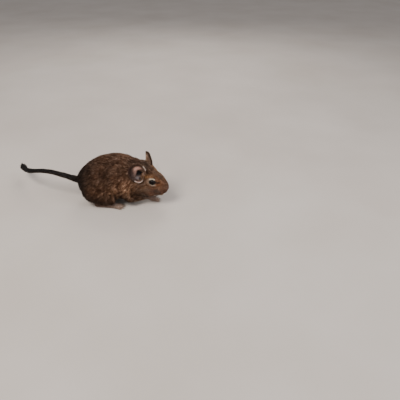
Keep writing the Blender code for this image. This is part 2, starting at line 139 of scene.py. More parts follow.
def spline(rows, count):
    """count rows read evenly from a smooth curve through the given rows."""
    out, last = [], len(rows) - 1
    for k in range(count):
        s = k * last / (count - 1)
        i = min(int(s), last - 1)
        t = s - i
        a, b, c, d = (rows[min(max(j, 0), last)] for j in (i - 1, i, i + 1, i + 2))
        out.append(tuple(
            0.5 * (2 * q + (r - p) * t + (2 * p - 5 * q + 4 * r - w) * t * t + (3 * q - p - 3 * r + w) * t ** 3)
            for p, q, r, w in zip(a, b, c, d)))
    return out


def loft(bm, rows, frame=BODY, side=(0, 1, 0), count=26, around=28, square=1.0, upright=False):
    """A closed tube through rows of (x, y, z, half width, height above, depth below); upright keeps its rings square to x."""
    pts = spline(rows, count)
    ctr = [Vector(p[:3]) for p in pts]
    rings = []
    for i, p in enumerate(pts):
        along = Vector((1, 0, 0)) if upright else (ctr[min(i + 1, count - 1)] - ctr[max(i - 1, 0)]).normalized()
        across = Vector(side) - along * along.dot(Vector(side))
        across.normalize()
        up = along.cross(across)
        w, high, low = (max(v, 0.15) for v in p[3:6])
        ring = []
        for k in range(around):
            a = 2 * math.pi * k / around
            c, s = math.cos(a), math.sin(a)
            c = math.copysign(abs(c) ** square, c)
            s = math.copysign(abs(s) ** square, s)
            ring.append(bm.verts.new(frame @ (ctr[i] + across * (w * c) + up * ((high if s > 0 else low) * s))))
        rings.append(ring)
    for a, b in zip(rings, rings[1:]):
        for k in range(around):
            n = (k + 1) % around
            bm.faces.new((a[k], a[n], b[n], b[k]))
    bm.faces.new(rings[0][::-1])
    bm.faces.new(rings[-1])


def ball(bm, at, radii, frame=BODY, turn=Matrix.Identity(4), u=24, v=16):
    m = frame @ Matrix.Translation(at) @ turn @ Matrix.Diagonal((*radii, 1.0))
    bmesh.ops.create_uvsphere(bm, u_segments=u, v_segments=v, radius=1.0, matrix=m)


def mirrored(rows, side):
    return [(r[0], r[1] * side, *r[2:]) for r in rows]

def trunk_stations():
    top, wide, low = BACK_TOP, TRUNK_HALF_WIDTH, BELLY_CLEARANCE
    return [  # x, sideways, top, bottom, half width
        (-49.2, 0.8, 34, 27, 3.5), (-48, 0.8, 39, 21.5, 9.2), (-45, 0.7, 43, 14.5, 14.5), (-38, 0.5, top - 15.3, low + 3.4, 21.5),
        (-28, 0.2, top - 8.0, low + 1.2, 25.5), (-15, 0, top - 2.6, low, wide - 0.8), (-2, 0, top - 0.4, low, wide),
        (10, -0.4, top + 0.1, low + 1.4, wide - 1.2), (22, -1.4, top - 2.8, low + 3.6, 23.6), (32, -3.2, top - 5.0, low + 6.2, 18.6),
        (42, -5.6, top - 7.4, low + 12, 14.8), (50, -7.6, 52, 24, 9)]


def trunk_masses(bm):
    rows = [(x, y, (t + b) / 2, w, (t - b) / 2, (t - b) / 2) for x, y, t, b, w in trunk_stations()]
    loft(bm, rows, count=44, around=40, square=0.97, upright=True)


def haunch_masses(bm, s):
    # thigh, the folded knee and the shank that runs back to the heel
    ball(bm, (-23.0, 16.4 * s, 27.0), (18.5, 13.0, 22.5), turn=Matrix.Rotation(math.radians(24), 4, "Y"))
    loft(bm, mirrored([
        (-28, 17, 29, 11, 16, 16), (-15, 19.5, 22.0, 10.2, 14, 13), (-5, 20.6, 16, 8.2, 11.2, 9.5),
        (0.5, 21.0, 13.5, 5.6, 7.6, 6), (3.2, 21.0, 12.6, 2.6, 4, 3)], s), count=14, around=20)
    loft(bm, mirrored([
        (-1, 22.0, 11.6, 4.2, 5.2, 5), (-9, 21.4, 9.6, 4.8, 5, 5), (-16, 20.4, 7.9, 4.6, 4.6, 4.6),
        (-23, 19.2, 6.2, 3.7, 3.8, 4.2), (-25.5, 18.8, 5.0, 2, 2.2, 2.2)], s), count=14, around=18)


def arm_rows(s, grow=(0.0, 0.0)):
    """The upper arm, the bent elbow and the forearm that reaches in under the throat; grow thickens them from shoulder to wrist."""
    wx, wy, wz = FORE_WRIST[s]
    rows = [
        (13.5, 17.6 * s - 1, 32, 7, 9, 9), (14.5, 18.6 * s - 1, 22, 6.2, 7.8, 7.8), (17, 18.6 * s - 1, 14.6, 5.4, 6.2, 6.2),
        (23, 16.4 * s - 1, 11.2, 4.7, 5.0, 5.0), (0.45 * wx + 14, 10.5 * s + 0.3 * wy, 9.2, 3.7, 4.0, 4.0),
        (wx - 3.5, wy + 1.4 * s, 6.6, 2.9, 2.8, 2.9), (wx + 1, wy + 0.2 * s, 5.2, 2.4, 2.2, 2.4)]
    out = []
    for i, (x, y, z, w, a, b) in enumerate(rows):
        t = i / (len(rows) - 1)
        g = grow[0] * (1 - t) ** 1.5 + grow[1] * (1 - (1 - t) ** 1.5)
        out.append((x, y, z, w + g, a + g, b + g))
    return out


def arm_masses(bm, s):
    ball(bm, (14.5, 16.5 * s - 1.0, 30), (13, 9.5, 16.5), turn=Matrix.Rotation(math.radians(18), 4, "Y"))
    loft(bm, arm_rows(s), count=26, around=18)

def head_rows():
    return [  # x from the nose tip back, y, middle height, half width, above, below
        (0.3, 0, -1.0, 2.4, 2.9, 3.8), (-1.2, 0, -1.0, 4.8, 5.8, 7.4), (-4.5, 0, -1.0, 7.2, 8.9, 10.8),
        (-9.5, 0, -0.8, 9.6, 11.9, 12.7), (-15, 0, -0.6, 11.8, 14.3, 14.8), (-21, 0, -0.6, 13.5, 15.9, 17.4),
        (-28, 0, -0.6, 15.6, 16.9, 20.4), (-35, 0, -0.5, 16.6, 17.3, 22.2), (-42, 0, -0.2, 16.4, 17.3, 23.2),
        (-49, 0, 0, 15.0, 15.5, 21.5), (-55, 0, 0, 10, 11, 14)]


def head_masses(bm):
    f = HEAD
    loft(bm, head_rows(), frame=f, count=34, around=36, square=0.95, upright=True)
    for s in (1, -1):
        # whisker pad, cheek, the ridge over the eye, the side of the crown, and the bulge of the jaw muscle
        ball(bm, (-8.4, 4.9 * s, -4.2), (6.4, 4.9, 6.2), f)
        ball(bm, (-24, 9.0 * s, -8.6), (12, 7.4, 11.4), f)
        ball(bm, (-22, 7.0 * s, 7.8), (11.0, 4.6, 4.2), f)
        ball(bm, (-31, 6.0 * s, 8.6), (10.0, 6.4, 8.2), f)
        ball(bm, (-34, 9.8 * s, -10.4), (11.6, 8.2, 13.4), f)
    # lower lip and chin
    loft(bm, [(-3.6, 0, -11.8, 2.2, 2.0, 1.8), (-5.6, 0, -12.4, 4.2, 2.8, 2.6), (-12.0, 0, -13.4, 6.4, 4, 3.6),
              (-21, 0, -15, 8.2, 5, 4.4), (-30, 0, -16, 9, 5, 5)], frame=f, count=16, around=18)


TAIL_ROWS = [  # along the tail, with its radius: a gentle rise behind the rump, then down to the tufted end
    (-42.0, 0.6, 29.0, 7.0), (-49.0, 0.8, 30.4, 4.9), (-58.0, 1.4, 32.4, 3.6), (-70.0, 3.0, 35.6, 3.2),
    (-83.0, 6.0, 37.8, 3.0), (-97.0, 12.0, 36.8, 2.9), (-111.0, 20.6, 32.4, 3.0), (-124.0, 31.4, 26.6, 3.5),
    (-134.0, 42.6, 22.0, 4.3), (-141.0, 52.6, 19.2, 4.3), (-146.0, 60.8, 17.8, 2.6), (-148.4, 64.8, 17.4, 0.9)]


def tail_masses(bm):
    loft(bm, [(x, y, z, r, r, r) for x, y, z, r in TAIL_ROWS], side=(0.3, 1, 0), count=44, around=16)


def toes(bm, root, aim, spread, lengths, radius, lift):
    """Toes that fan out from root; their claws go to a mesh of their own."""
    n = len(lengths)
    for k, size in enumerate(lengths):
        a = aim + spread * (k - (n - 1) / 2)
        d = Vector((math.cos(a), math.sin(a), 0))
        q = Vector((-math.sin(a), math.cos(a), 0))
        base = Vector(root) + Vector((-math.sin(aim), math.cos(aim), 0)) * (k - (n - 1) / 2) * radius * 1.75
        rows = []
        for t, high, r in ((-0.25, lift, 1.0), (0.15, lift * 1.05, 0.98), (0.5, lift * 0.84, 0.86), (0.78, radius * 0.66, 0.86),
                           (0.93, radius * 0.56, 0.62)):
            c = base + d * size * t
            rows.append((c.x, c.y, high, radius * r, radius * r, radius * r))
        loft(bm, rows, side=q, count=16, around=14)
        rows = []
        for t, high, r in ((0.84, radius * 0.85, 0.5), (1.0, radius * 0.9, 0.42), (1.16, radius * 0.62, 0.26), (1.28, radius * 0.2, 0.12)):
            c = base + d * size * t
            rows.append((c.x, c.y, high + 0.25, max(radius * r, 0.3), max(radius * r, 0.3), max(radius * r, 0.3)))
        if CLAWS is not None:
            loft(CLAWS, rows, side=q, count=12, around=12)


def forefoot_masses(bm, s):
    wrist, aim = Vector(FORE_WRIST[s]), math.radians(FORE_AIM[s])
    d = Vector((math.cos(aim), math.sin(aim), 0))
    q = Vector((-math.sin(aim), math.cos(aim), 0))
    rows = []
    for t, high, w, u, below in ((-1.5, 5.6, 2.3, 2.3, 2.6), (1.5, 4.8, 2.7, 2.2, 3.0), (4.5, 3.3, 3.5, 2.1, 3.4), (7.0, 2.4, 3.8, 1.9, 2.9),
                                 (9.0, 2.0, 3.2, 1.5, 2.0)):
        c = wrist + d * t
        rows.append((c.x, c.y, high, w, u, below))
    loft(bm, rows, side=q, count=14, around=16)
    toes(bm, wrist + d * 7.4, aim, math.radians(12), (5.6, 7.0, 6.8, 5.2), 1.12, 2.0)


def hindfoot_masses(bm, s):
    heel, aim = Vector((HIND_FOOT_AT[0], HIND_FOOT_AT[1] * s, 0)), math.radians(4.0 * s)
    d = Vector((math.cos(aim), math.sin(aim), 0))
    q = Vector((-math.sin(aim), math.cos(aim), 0))
    rows = []
    for t, high, w, u in ((-1.6, 4.2, 1.6, 1.6), (0.5, 4.0, 2.9, 3.0), (5, 3.4, 3.2, 3.0), (12, 3.0, 3.4, 2.6), (19, 2.7, 4.0, 2.3),
                          (24, 2.4, 4.5, 2.0), (27.5, 2.1, 3.9, 1.6)):
        c = heel + d * t
        rows.append((c.x, c.y, high, w, u, u + 0.9))
    loft(bm, rows, side=q, count=20, around=18)
    sizes = (7.4, 9.3, 9.9, 9.2, 7.0)
    toes(bm, heel + d * 25.4, aim, math.radians(7), sizes if s > 0 else sizes[::-1], 1.22, 2.1)

def ear_frame(s):
    """y out through the opening, z up, x across towards the face; the ear hole is the origin."""
    return (HEAD @ Matrix.Diagonal((1, s, 1, 1)) @ Matrix.Translation(EAR_AT)
            @ Matrix.Rotation(math.radians(-EAR_TURN[s]), 4, "Z") @ Matrix.Rotation(math.radians(EAR_FOLD[s]), 4, "X")
            @ Matrix.Rotation(math.radians(-EAR_BACK[s]), 4, "Y"))


def round_the_rim(values, phi):
    """A smooth closed curve through eight values, 45 degrees apart."""
    k = (phi / (math.pi / 4)) % 8
    i, t = int(k), k - int(k)
    p, q, r, w = (values[(i + j) % 8] for j in (-1, 0, 1, 2))
    return 0.5 * (2 * q + (r - p) * t + (2 * p - 5 * q + 4 * r - w) * t * t + (3 * q - p - 3 * r + w) * t ** 3)


def ear_point(phi, t, lift=0.0):
    """The cup of the ear: phi runs round the hole, t from the floor of the cup (0) out to the rim (1)."""
    reach = round_the_rim(EAR_REACH, phi) * t ** 0.85
    flare = round_the_rim(EAR_FLARE, phi) * t ** 1.5 - 2.2 * (1 - t) ** 2
    return Vector((reach * math.cos(phi), flare + lift, reach * math.sin(phi)))

def tail_point(share):
    rows = spline(TAIL_ROWS, 101)
    i = min(int(share * 100), 99)
    a, b = Vector(rows[i][:3]), Vector(rows[i + 1][:3])
    return a, (b - a).normalized()


# ---------------------------------------------------------------- number tools
def unit(v):
    return v / np.maximum(np.linalg.norm(v, axis=-1, keepdims=True), 1e-9)


def ease(x, a, b):
    """0 before a, 1 after b, smooth between; a may be the larger."""
    t = np.clip((np.asarray(x, float) - a) / (b - a), 0.0, 1.0)
    return t * t * (3 - 2 * t)


def table(x, *pairs):
    """Read a smooth-ish value off a short list of (x, value) pairs."""
    xs, ys = zip(*pairs)
    return np.interp(x, xs, ys)


def mix(a, b, w):
    w = np.asarray(w)
    if np.ndim(a) > np.ndim(w) or np.ndim(b) > np.ndim(w):
        w = w[..., None]
    return a * (1 - w) + b * w


def noise(p, size, seed=0):
    """Smooth noise from -1 to 1 whose blobs are about `size` across."""
    q = p / size + 11.7 * seed + 300.0
    cell = np.floor(q).astype(np.int64)
    f = q - cell
    f = f * f * (3 - 2 * f)
    out = np.zeros(len(p))
    for dx in (0, 1):
        for dy in (0, 1):
            for dz in (0, 1):
                h = (cell[:, 0] + dx) * 73856093 ^ (cell[:, 1] + dy) * 19349663 ^ (cell[:, 2] + dz) * 83492791 ^ (seed * 40503 + 977)
                h = (h ^ (h >> 13)) * 1274126177 & 0xFFFFFFFF
                h = ((h ^ (h >> 16)) * 2246822519 & 0xFFFFFFFF) / 4294967295.0
                w = (f[:, 0] if dx else 1 - f[:, 0]) * (f[:, 1] if dy else 1 - f[:, 1]) * (f[:, 2] if dz else 1 - f[:, 2])
                out += h * w
    return out * 2 - 1


def srgb(r, g, b):
    c = np.array([r, g, b], float) / 255
    return np.where(c <= 0.04045, c / 12.92, ((c + 0.055) / 1.055) ** 2.4)


def tone(r, g, b):
    """A colour as one row, ready to be mixed over many points."""
    return srgb(r, g, b)[None]


def apply_matrix(m, p):
    a = np.array(m)
    return p @ a[:3, :3].T + a[:3, 3]


def turn_only(m, v):
    a = np.array(m)[:3, :3]
    return unit(v @ a.T)


HEAD_BACK = HEAD.inverted()
EAR_IN = {s: ear_frame(s).inverted() for s in (1, -1)}
# the design frame's ground point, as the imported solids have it: the middle of the left eye is in both
lo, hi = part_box("left_eye")
SHIFT = np.array((lo + hi) / 2) / MM - np.array(in_head(*EYE_AT))


def placed(p):
    """Design millimetres to row metres."""
    return (np.asarray(p, float) + SHIFT) * MM


# ---------------------------------------------------------------- mesh tools, all in millimetres
def mm_object(bm, name):
    bmesh.ops.recalc_face_normals(bm, faces=bm.faces)
    mesh = bpy.data.meshes.new(name)
    bm.to_mesh(mesh)
    bm.free()
    obj = bpy.data.objects.new(name, mesh)
    bpy.context.scene.collection.objects.link(obj)
    return obj


def with_modifiers(obj, *mods):
    for kind, settings in mods:
        mod = obj.modifiers.new(kind.title(), kind)
        for key, value in settings.items():
            setattr(mod, key, value)
    bpy.context.view_layer.update()
    mesh = bpy.data.meshes.new_from_object(obj.evaluated_get(bpy.context.evaluated_depsgraph_get()))
    obj.modifiers.clear()
    obj.data = mesh
    return obj


def spots(mesh):
    co = np.empty(len(mesh.vertices) * 3, np.float32)
    mesh.vertices.foreach_get("co", co)
    return co.reshape(-1, 3).astype(float)


def directions(mesh):
    """Vertex normals."""
    no = np.empty(len(mesh.vertices) * 3, np.float32)
    mesh.vertex_normals.foreach_get("vector", no)
    return no.reshape(-1, 3).astype(float)


def put_spots(mesh, co):
    mesh.vertices.foreach_set("co", np.asarray(co, np.float32).ravel())
    mesh.update()


def edges_of(mesh):
    e = np.empty(len(mesh.edges) * 2, np.int32)
    mesh.edges.foreach_get("vertices", e)
    return e.reshape(-1, 2)


def relaxed(values, edges, rounds, share=0.6, weight=None):
    """Values per vertex, evened out along the mesh."""
    n = len(values)
    count = np.bincount(edges.ravel(), minlength=n).astype(float)
    for _ in range(rounds):
        total = np.empty_like(values)
        for k in range(values.shape[1]):
            total[:, k] = (np.bincount(edges[:, 0], values[edges[:, 1], k], n) + np.bincount(edges[:, 1], values[edges[:, 0], k], n)) / count
        s = share if weight is None else (share * weight)[:, None]
        values = values * (1 - s) + total * s
    return values


def attribute(mesh, name, values, kind):
    att = mesh.attributes.new(name, kind, "POINT")
    key = "color" if kind == "FLOAT_COLOR" else "vector" if kind == "FLOAT_VECTOR" else "value"
    att.data.foreach_set(key, np.ascontiguousarray(values, np.float32).ravel())


# ---------------------------------------------------------------- where a point is on the body
def sections(rows, frame=BODY, count=40, side=1):
    pts = spline(mirrored(rows, side) if side < 0 else rows, count)
    c = np.array([frame @ Vector(p[:3]) for p in pts])
    r = np.array([sum(p[3:]) / len(p[3:]) for p in pts])
    return c, r, unit(np.gradient(c, axis=0))


def along(p, tube):
    """How far p stands off the tube, the tube's direction there and the share of its length."""
    c, r, t = tube
    best, where = np.full(len(p), 1e9), np.zeros(len(p), int)
    for i in range(len(r)):
        d = np.linalg.norm(p - c[i], axis=1) - r[i]
        m = d < best
        best[m], where[m] = d[m], i
    return best, t[where], where / (len(r) - 1), c[where]


def off_oval(p, at, radii, tilt=0.0):
    """How far p stands off an ellipsoid that is tilted about y."""
    q = p - np.array(at)
    a = math.radians(tilt)
    q = np.stack([q[:, 0] * math.cos(a) - q[:, 2] * math.sin(a), q[:, 1], q[:, 0] * math.sin(a) + q[:, 2] * math.cos(a)], 1) / np.array(radii)
    return (np.linalg.norm(q, axis=1) - 1) * min(radii)


def off_rings(p, rows):
    """How far p stands off a tube of upright rings (x, y, z, half width, above, below), given along x."""
    pts = np.array(sorted(spline(rows, 60)))
    x = np.clip(p[:, 0], pts[0, 0], pts[-1, 0])
    y, z, w, a, b = (np.interp(x, pts[:, 0], pts[:, k]) for k in range(1, 6))
    dz = p[:, 2] - z
    h = np.where(dz > 0, a, b)
    rho = np.hypot((p[:, 1] - y) / np.maximum(w, 1), dz / np.maximum(h, 1))
    return (rho - 1) * np.minimum(w, h) + np.abs(p[:, 0] - x), (p[:, 1] - y) / np.maximum(w, 1), dz / np.maximum(h, 1)


def rim_value(values, phi):
    k = (phi / (math.pi / 4)) % 8
    i = np.floor(k).astype(int) % 8
    t = k - np.floor(k)
    v = np.array(values)
    p, q, r, w = (v[(i + j) % 8] for j in (-1, 0, 1, 2))
    return 0.5 * (2 * q + (r - p) * t + (2 * p - 5 * q + 4 * r - w) * t * t + (3 * q - p - 3 * r + w) * t ** 3)


RIM_PROFILE = {
    1: ((0, 1.0), (30, 1.02), (60, 1.05), (76, 1.05), (90, 0.99), (104, 0.91), (118, 0.91), (134, 0.99), (150, 1.045), (360, 1.0)),
    -1: ((0, 0.94), (30, 0.95), (52, 1.03), (90, 1.04), (150, 1.03), (190, 1.0), (220, 0.92), (250, 0.915), (280, 0.93), (310, 0.95), (360, 0.94))}


def rim_profile(phi, s):
    """How far the skin's rim reaches, against the solid's rim."""
    return table(np.degrees(phi) % 360, *RIM_PROFILE[s])


def in_ear(p, s):
    """On the cup of an ear: angle round the hole, share of the way out to the rim, and height over the middle of the cup's wall."""
    q = apply_matrix(EAR_IN[s], p)
    phi = np.arctan2(q[:, 2], q[:, 0]) % (2 * math.pi)
    out = np.hypot(q[:, 0], q[:, 2])
    t = (out / rim_value(EAR_REACH, phi)) ** (1 / 0.85)
    u = np.minimum(t, 1.06)
    lift = q[:, 1] - (rim_value(EAR_FLARE, phi) * u ** 1.5 - 2.2 * np.maximum(1 - u, 0) ** 2)
    return phi, t / rim_profile(phi, s), lift, q


ARM = {s: sections(arm_rows(s)) for s in (1, -1)}
THIGH_ROWS = [(-30, 17, 32, 11, 16, 16), (-15, 19.5, 22.0, 10.2, 14, 13), (-5, 20.6, 16, 8.2, 11.2, 9.5), (3.2, 21.0, 12.6, 2.6, 4, 3)]
SHANK_ROWS = [(-1, 22.0, 11.6, 4.2, 5.2, 5), (-9, 21.4, 9.6, 4.8, 5, 5), (-16, 20.4, 7.9, 4.6, 4.6, 4.6), (-23, 19.2, 6.2, 3.7, 3.8, 4.2),
              (-25.5, 18.8, 5.0, 2, 2.2, 2.2)]
THIGH = {s: sections(THIGH_ROWS, side=s) for s in (1, -1)}
SHANK = {s: sections(SHANK_ROWS, side=s) for s in (1, -1)}
TAIL = sections(TAIL_ROWS, count=80)


def foot_line(s, hind):
    if hind:
        root, aim, length = Vector((HIND_FOOT_AT[0], HIND_FOOT_AT[1] * s, 3.4)), math.radians(4.0 * s), 36.0
    else:
        root, aim, length = Vector(FORE_WRIST[s]), math.radians(FORE_AIM[s]), 15.0
    d = Vector((math.cos(aim), math.sin(aim), 0))
    rows = [(*(root + d * length * t - Vector((0, 0, (root.z - 1.4) * t))), r) for t, r in ((-0.05, 3.0), (0.4, 3.4), (0.7, 4.2), (1.0, 3.0))]
    return sections(rows, count=30)


FOOT = {(s, hind): foot_line(s, hind) for s in (1, -1) for hind in (True, False)}
EYE_OUT = {s: unit(np.array([0.19, 1.0 * s, 0.31])) for s in (1, -1)}


def eye_axes(s):
    """Middle of the eye, and unit axes out of it, towards the nose and up, all in the design frame."""
    out = turn_only(HEAD, EYE_OUT[s][None])[0]
    nose = turn_only(HEAD, np.array([[1.0, 0, 0.30]]))[0]
    nose = unit(nose - out * (nose @ out))
    up = np.cross(out, nose) * (1 if s > 0 else -1)
    if up[2] < 0:
        up = -up
    return np.array(in_head(EYE_AT[0], EYE_AT[1] * s, EYE_AT[2])), out, nose, up


EYES = {s: eye_axes(s) for s in (1, -1)}
PARTS = ("trunk", "head", "arm", "thigh", "shank", "fore", "hind", "tail", "ear")


def ear_spot(t, phi, at, size, turn=0.0):
    """A soft oval patch in the cup; at is its middle, (share of the way out, degrees round), turn its long side's direction."""
    a, b = t * np.cos(phi) - at[0] * math.cos(math.radians(at[1])), t * np.sin(phi) - at[0] * math.sin(math.radians(at[1]))
    c, s = math.cos(math.radians(turn)), math.sin(math.radians(turn))
    return np.exp(-((a * c + b * s) / size[0]) ** 2 - ((b * c - a * s) / size[1]) ** 2)


def ear_hollow(t, phi):
    """1 in the way into the head, an oval that slants up to the front."""
    return np.clip(2.6 * ear_spot(t, phi, (0.20, 47), (0.38, 0.20), 36) - 0.35, 0, 1)


def ear_notch(t, phi):
    """1 in the small pit below the hollow."""
    return np.clip(2.0 * ear_spot(t, phi, (0.47, 284), (0.17, 0.12), 100) - 0.2, 0, 1)


def ear_fur(t, phi):
    """How furry the inside of the cup is: the rear of its rim, and the lobe before the hole."""
    rear = ease(np.cos(phi - math.radians(130)), 0.35, 0.80) * ease(t, 0.60, 0.84)
    lobe = np.clip(1.5 * ear_spot(t, phi, (0.66, -18), (0.30, 0.20), 78), 0, 1)
    return np.maximum(rear, lobe)


def body_fields(p):
    """What each point of the skin belongs to (weights that sum to 1), and its coat: depth, length, width, lift, tufts to the mm2, lie."""
    n = len(p)
    h = apply_matrix(HEAD_BACK, p)
    trunk_rows = [(x, y, (t + b) / 2, w, (t - b) / 2, (t - b) / 2) for x, y, t, b, w in trunk_stations()]
    d_trunk, side_t, high_t = off_rings(p, trunk_rows)
    d_head, side_h, high_h = off_rings(h, head_rows())
    d_head = np.minimum(d_head * HEAD_SCALE, np.minimum.reduce([
        off_oval(h, (-35, 9.6 * s, -9.0), (11, 7.8, 12.5)) for s in (1, -1)] + [off_oval(h, (-8.4, 4.9 * s, -4.2), (6.4, 4.9, 6.2)) for s in (1, -1)]))
    off = {"trunk": d_trunk, "head": d_head}
    lie = {}
    lie["trunk"] = unit(np.stack([
        -1.0 + 0.5 * ease(p[:, 0], -36, -48), 0.10 * side_t * 0, -0.55 * np.abs(side_t) * ease(high_t, -0.9, 0.1) - 1.3 * ease(p[:, 0], -30, -47)], 1))
    from_nose = h - np.array([3.0, 0, 3.0])
    lie["head"] = turn_only(HEAD, unit(unit(from_nose) + np.array([-0.5, 0, 0])))
    parts = {}
    for name, tubes in (("arm", ARM), ("thigh", THIGH), ("shank", SHANK)):
        got = {s: along(p, tubes[s]) for s in (1, -1)}
        m = (got[1][0] < got[-1][0])
        off[name] = np.where(m, got[1][0], got[-1][0])
        lie[name] = np.where(m[:, None], got[1][1], got[-1][1])
        parts[name] = np.where(m, got[1][2], got[-1][2])
    for s in (1, -1):
        off["arm"] = np.minimum(off["arm"], off_oval(p, (14.5, 16.5 * s - 1.0, 30), (13, 9.5, 16.5), 18) + 0.4)
        off["thigh"] = np.minimum(off["thigh"], off_oval(p, (-23.0, 16.4 * s, 27.0), (18.5, 13.0, 22.5), 24))
    lie["arm"] = unit(mix(np.array([-0.62, 0, -0.8]), lie["arm"], ease(parts["arm"], 0.12, 0.5)))
    lie["thigh"] = unit(lie["thigh"] * 0 + np.array([-0.72, 0, -0.85]) + np.stack([ease(p[:, 0], -12, 4) * 0.5, p[:, 0] * 0, -0.4 * ease(p[:, 0], -12, 4)], 1))
    for name, hind in (("fore", False), ("hind", True)):
        got = {s: along(p, FOOT[(s, hind)]) for s in (1, -1)}
        m = (got[1][0] < got[-1][0])
        off[name] = np.where(m, got[1][0], got[-1][0]) + 0.2
        lie[name] = np.where(m[:, None], got[1][1], got[-1][1])
        parts[name] = np.where(m, got[1][2], got[-1][2])
        inside = ease(p[:, 2], 8.5, 6.8)
        off[name] = off[name] + 20 * (1 - inside)
        if hind:
            off[name] = off[name] + 20 * ease(p[:, 0], HIND_FOOT_AT[0] + 1, HIND_FOOT_AT[0] - 4)
    off["tail"], lie["tail"], parts["tail"], tail_c = along(p, TAIL)
    off["tail"] = off["tail"] + 10 * ease(parts["tail"], 0.06, 0.0)
    ear_t, ear_phi, ear_lift, ear_side = np.full(n, 9.0), np.zeros(n), np.zeros(n), np.zeros(n)
    lie["ear"] = np.tile([0.0, 0, 1.0], (n, 1))
    off["ear"] = np.full(n, 30.0)
    for s in (1, -1):
        phi, t, lift, q = in_ear(p, s)
        near = (np.linalg.norm(q, axis=1) < 27)
        d = np.where(near, np.maximum(np.abs(lift) - 0.9 - 1.0 * np.clip(t, 0, 1) ** 2, 0) + 12 * np.maximum(t - 1.06, 0), 30)
        d = np.where((lift > 0) & near & (t < 0.75), np.maximum(lift - 2.6, 0), d + (lift <= 0) * 3 * ease(t, 0.32, 0.12))
        m = d < off["ear"]
        off["ear"][m], ear_t[m], ear_phi[m], ear_lift[m], ear_side[m] = d[m], t[m], phi[m], lift[m], s
        out = np.stack([np.cos(phi), 0.45 * np.ones(n), np.sin(phi)], 1)
        lie["ear"][m] = turn_only(ear_frame(s), out)[m]
    w = np.stack([np.exp(-(np.maximum(off[k], 0) / 1.7) ** 2) + 1e-9 / (1 + np.maximum(off[k], 0) ** 4) for k in PARTS], 1)
    # paws and ears win over what they grow from
    for k in ("fore", "hind", "ear"):
        i = PARTS.index(k)
        own = ease(off[k], 1.6, 0.4)
        w = w * (1 - own)[:, None]
        w[:, i] += own
    w = w / w.sum(1, keepdims=True)
    hx = h[:, 0]
    ear_furry = ear_fur(ear_t, ear_phi) * (ear_lift > 0)
    tail_u, arm_u, shank_u = parts["tail"], parts["arm"], parts["shank"]
    jowl = ease(h[:, 2], -2, -12) * ease(hx, -14, -30)
    coat = {  # depth, length, width, lift in degrees, tufts to the mm2
        "trunk": (COAT_DEPTH + 0 * hx, 7.4 - 0.6 * ease(p[:, 0], 10, 40), 0.37 + 0 * hx, 20 + 0 * hx, 4.3 + 0 * hx),
        "head": (table(hx, (-52, 2.3), (-40, 1.5), (-30, 1.05), (-18, 0.75), (-6, 0.45), (0, 0.3)),
                 table(hx, (-52, 6.4), (-42, 4.6), (-32, 3.3), (-20, 2.3), (-8, 1.3), (0, 0.85)) + 1.3 * jowl,
                 table(hx, (-52, 0.36), (-40, 0.30), (-30, 0.25), (-18, 0.21), (-6, 0.17), (0, 0.15)),
                 table(hx, (-52, 22), (-30, 19), (-10, 16), (0, 14)),
                 table(hx, (-52, 4.6), (-40, 6.0), (-30, 7.6), (-18, 10.5), (-6, 14), (0, 14))),
        "arm": (table(arm_u, (0, 2.4), (0.35, 2.0), (0.6, 1.25), (0.85, 0.6), (1, 0.35)),
                table(arm_u, (0, 7.0), (0.35, 5.8), (0.6, 3.8), (0.85, 2.1), (1, 1.4)),
                table(arm_u, (0, 0.37), (0.5, 0.31), (1, 0.19)), table(arm_u, (0, 21), (1, 15)), table(arm_u, (0, 4.3), (0.5, 5.2), (1, 8))),
        "thigh": (COAT_DEPTH + 0 * hx, 7.2 + 0 * hx, 0.37 + 0 * hx, 20 + 0 * hx, 4.3 + 0 * hx),
        "shank": (table(shank_u, (0, 1.7), (0.5, 1.2), (1, 0.4)), table(shank_u, (0, 5.2), (0.5, 3.6), (1, 1.7)),
                  table(shank_u, (0, 0.33), (1, 0.20)), 18 + 0 * hx, table(shank_u, (0, 5), (1, 8))),
        "fore": (0.22 + 0 * hx, table(parts["fore"], (0, 1.5), (0.6, 1.1), (1, 0.7)), 0.17 + 0 * hx, 13 + 0 * hx, 9 + 0 * hx),
        "hind": (0.22 + 0 * hx, table(parts["hind"], (0, 1.9), (0.5, 1.6), (1, 0.9)), 0.19 + 0 * hx, 13 + 0 * hx, 9 + 0 * hx),
        "tail": (table(tail_u, (0, 2.2), (0.12, 1.3), (0.4, 0.9), (1, 0.9)),
                 table(tail_u, (0, 5.8), (0.12, 4.2), (0.3, 3.6), (0.55, 3.9), (0.75, 7.0), (0.9, 10.0), (1, 10.5)),
                 table(tail_u, (0, 0.34), (0.2, 0.27), (0.7, 0.25), (1, 0.27)), table(tail_u, (0, 19), (0.12, 18), (0.5, 17), (0.8, 21), (1, 15)),
                 table(tail_u, (0, 5), (0.3, 7), (0.7, 8), (0.85, 11), (1, 16))),
        "ear": (0.0 * hx, table(ear_t, (0, 1.6), (0.4, 1.0), (0.9, 0.9), (1, 1.15)) + 1.3 * ear_furry, 0.12 + 0 * hx, 17 + 5 * ear_furry,
                np.where(ear_lift > 0, (table(ear_t, (0, 0.0), (0.25, 0.8), (0.75, 2.2), (0.93, 7.0), (1, 14)) + 12 * ear_furry) * (1 - 0.92 * ear_hollow(ear_t, ear_phi)) * (1 - 0.8 * ear_notch(ear_t, ear_phi)), table(ear_t, (0, 10), (0.5, 9), (1, 14)))),
    }
    out = {"w": w, "h": h, "tail_u": tail_u, "tail_c": tail_c, "arm_u": arm_u, "fore_u": parts["fore"], "hind_u": parts["hind"], "shank_u": shank_u,
           "ear_t": ear_t, "ear_phi": ear_phi, "ear_lift": ear_lift, "ear_side": ear_side, "trunk_side": side_t, "trunk_high": high_t}
    for k, name in enumerate(("depth", "length", "width", "lift", "many")):
        out[name] = sum(w[:, i] * coat[part][k] for i, part in enumerate(PARTS))
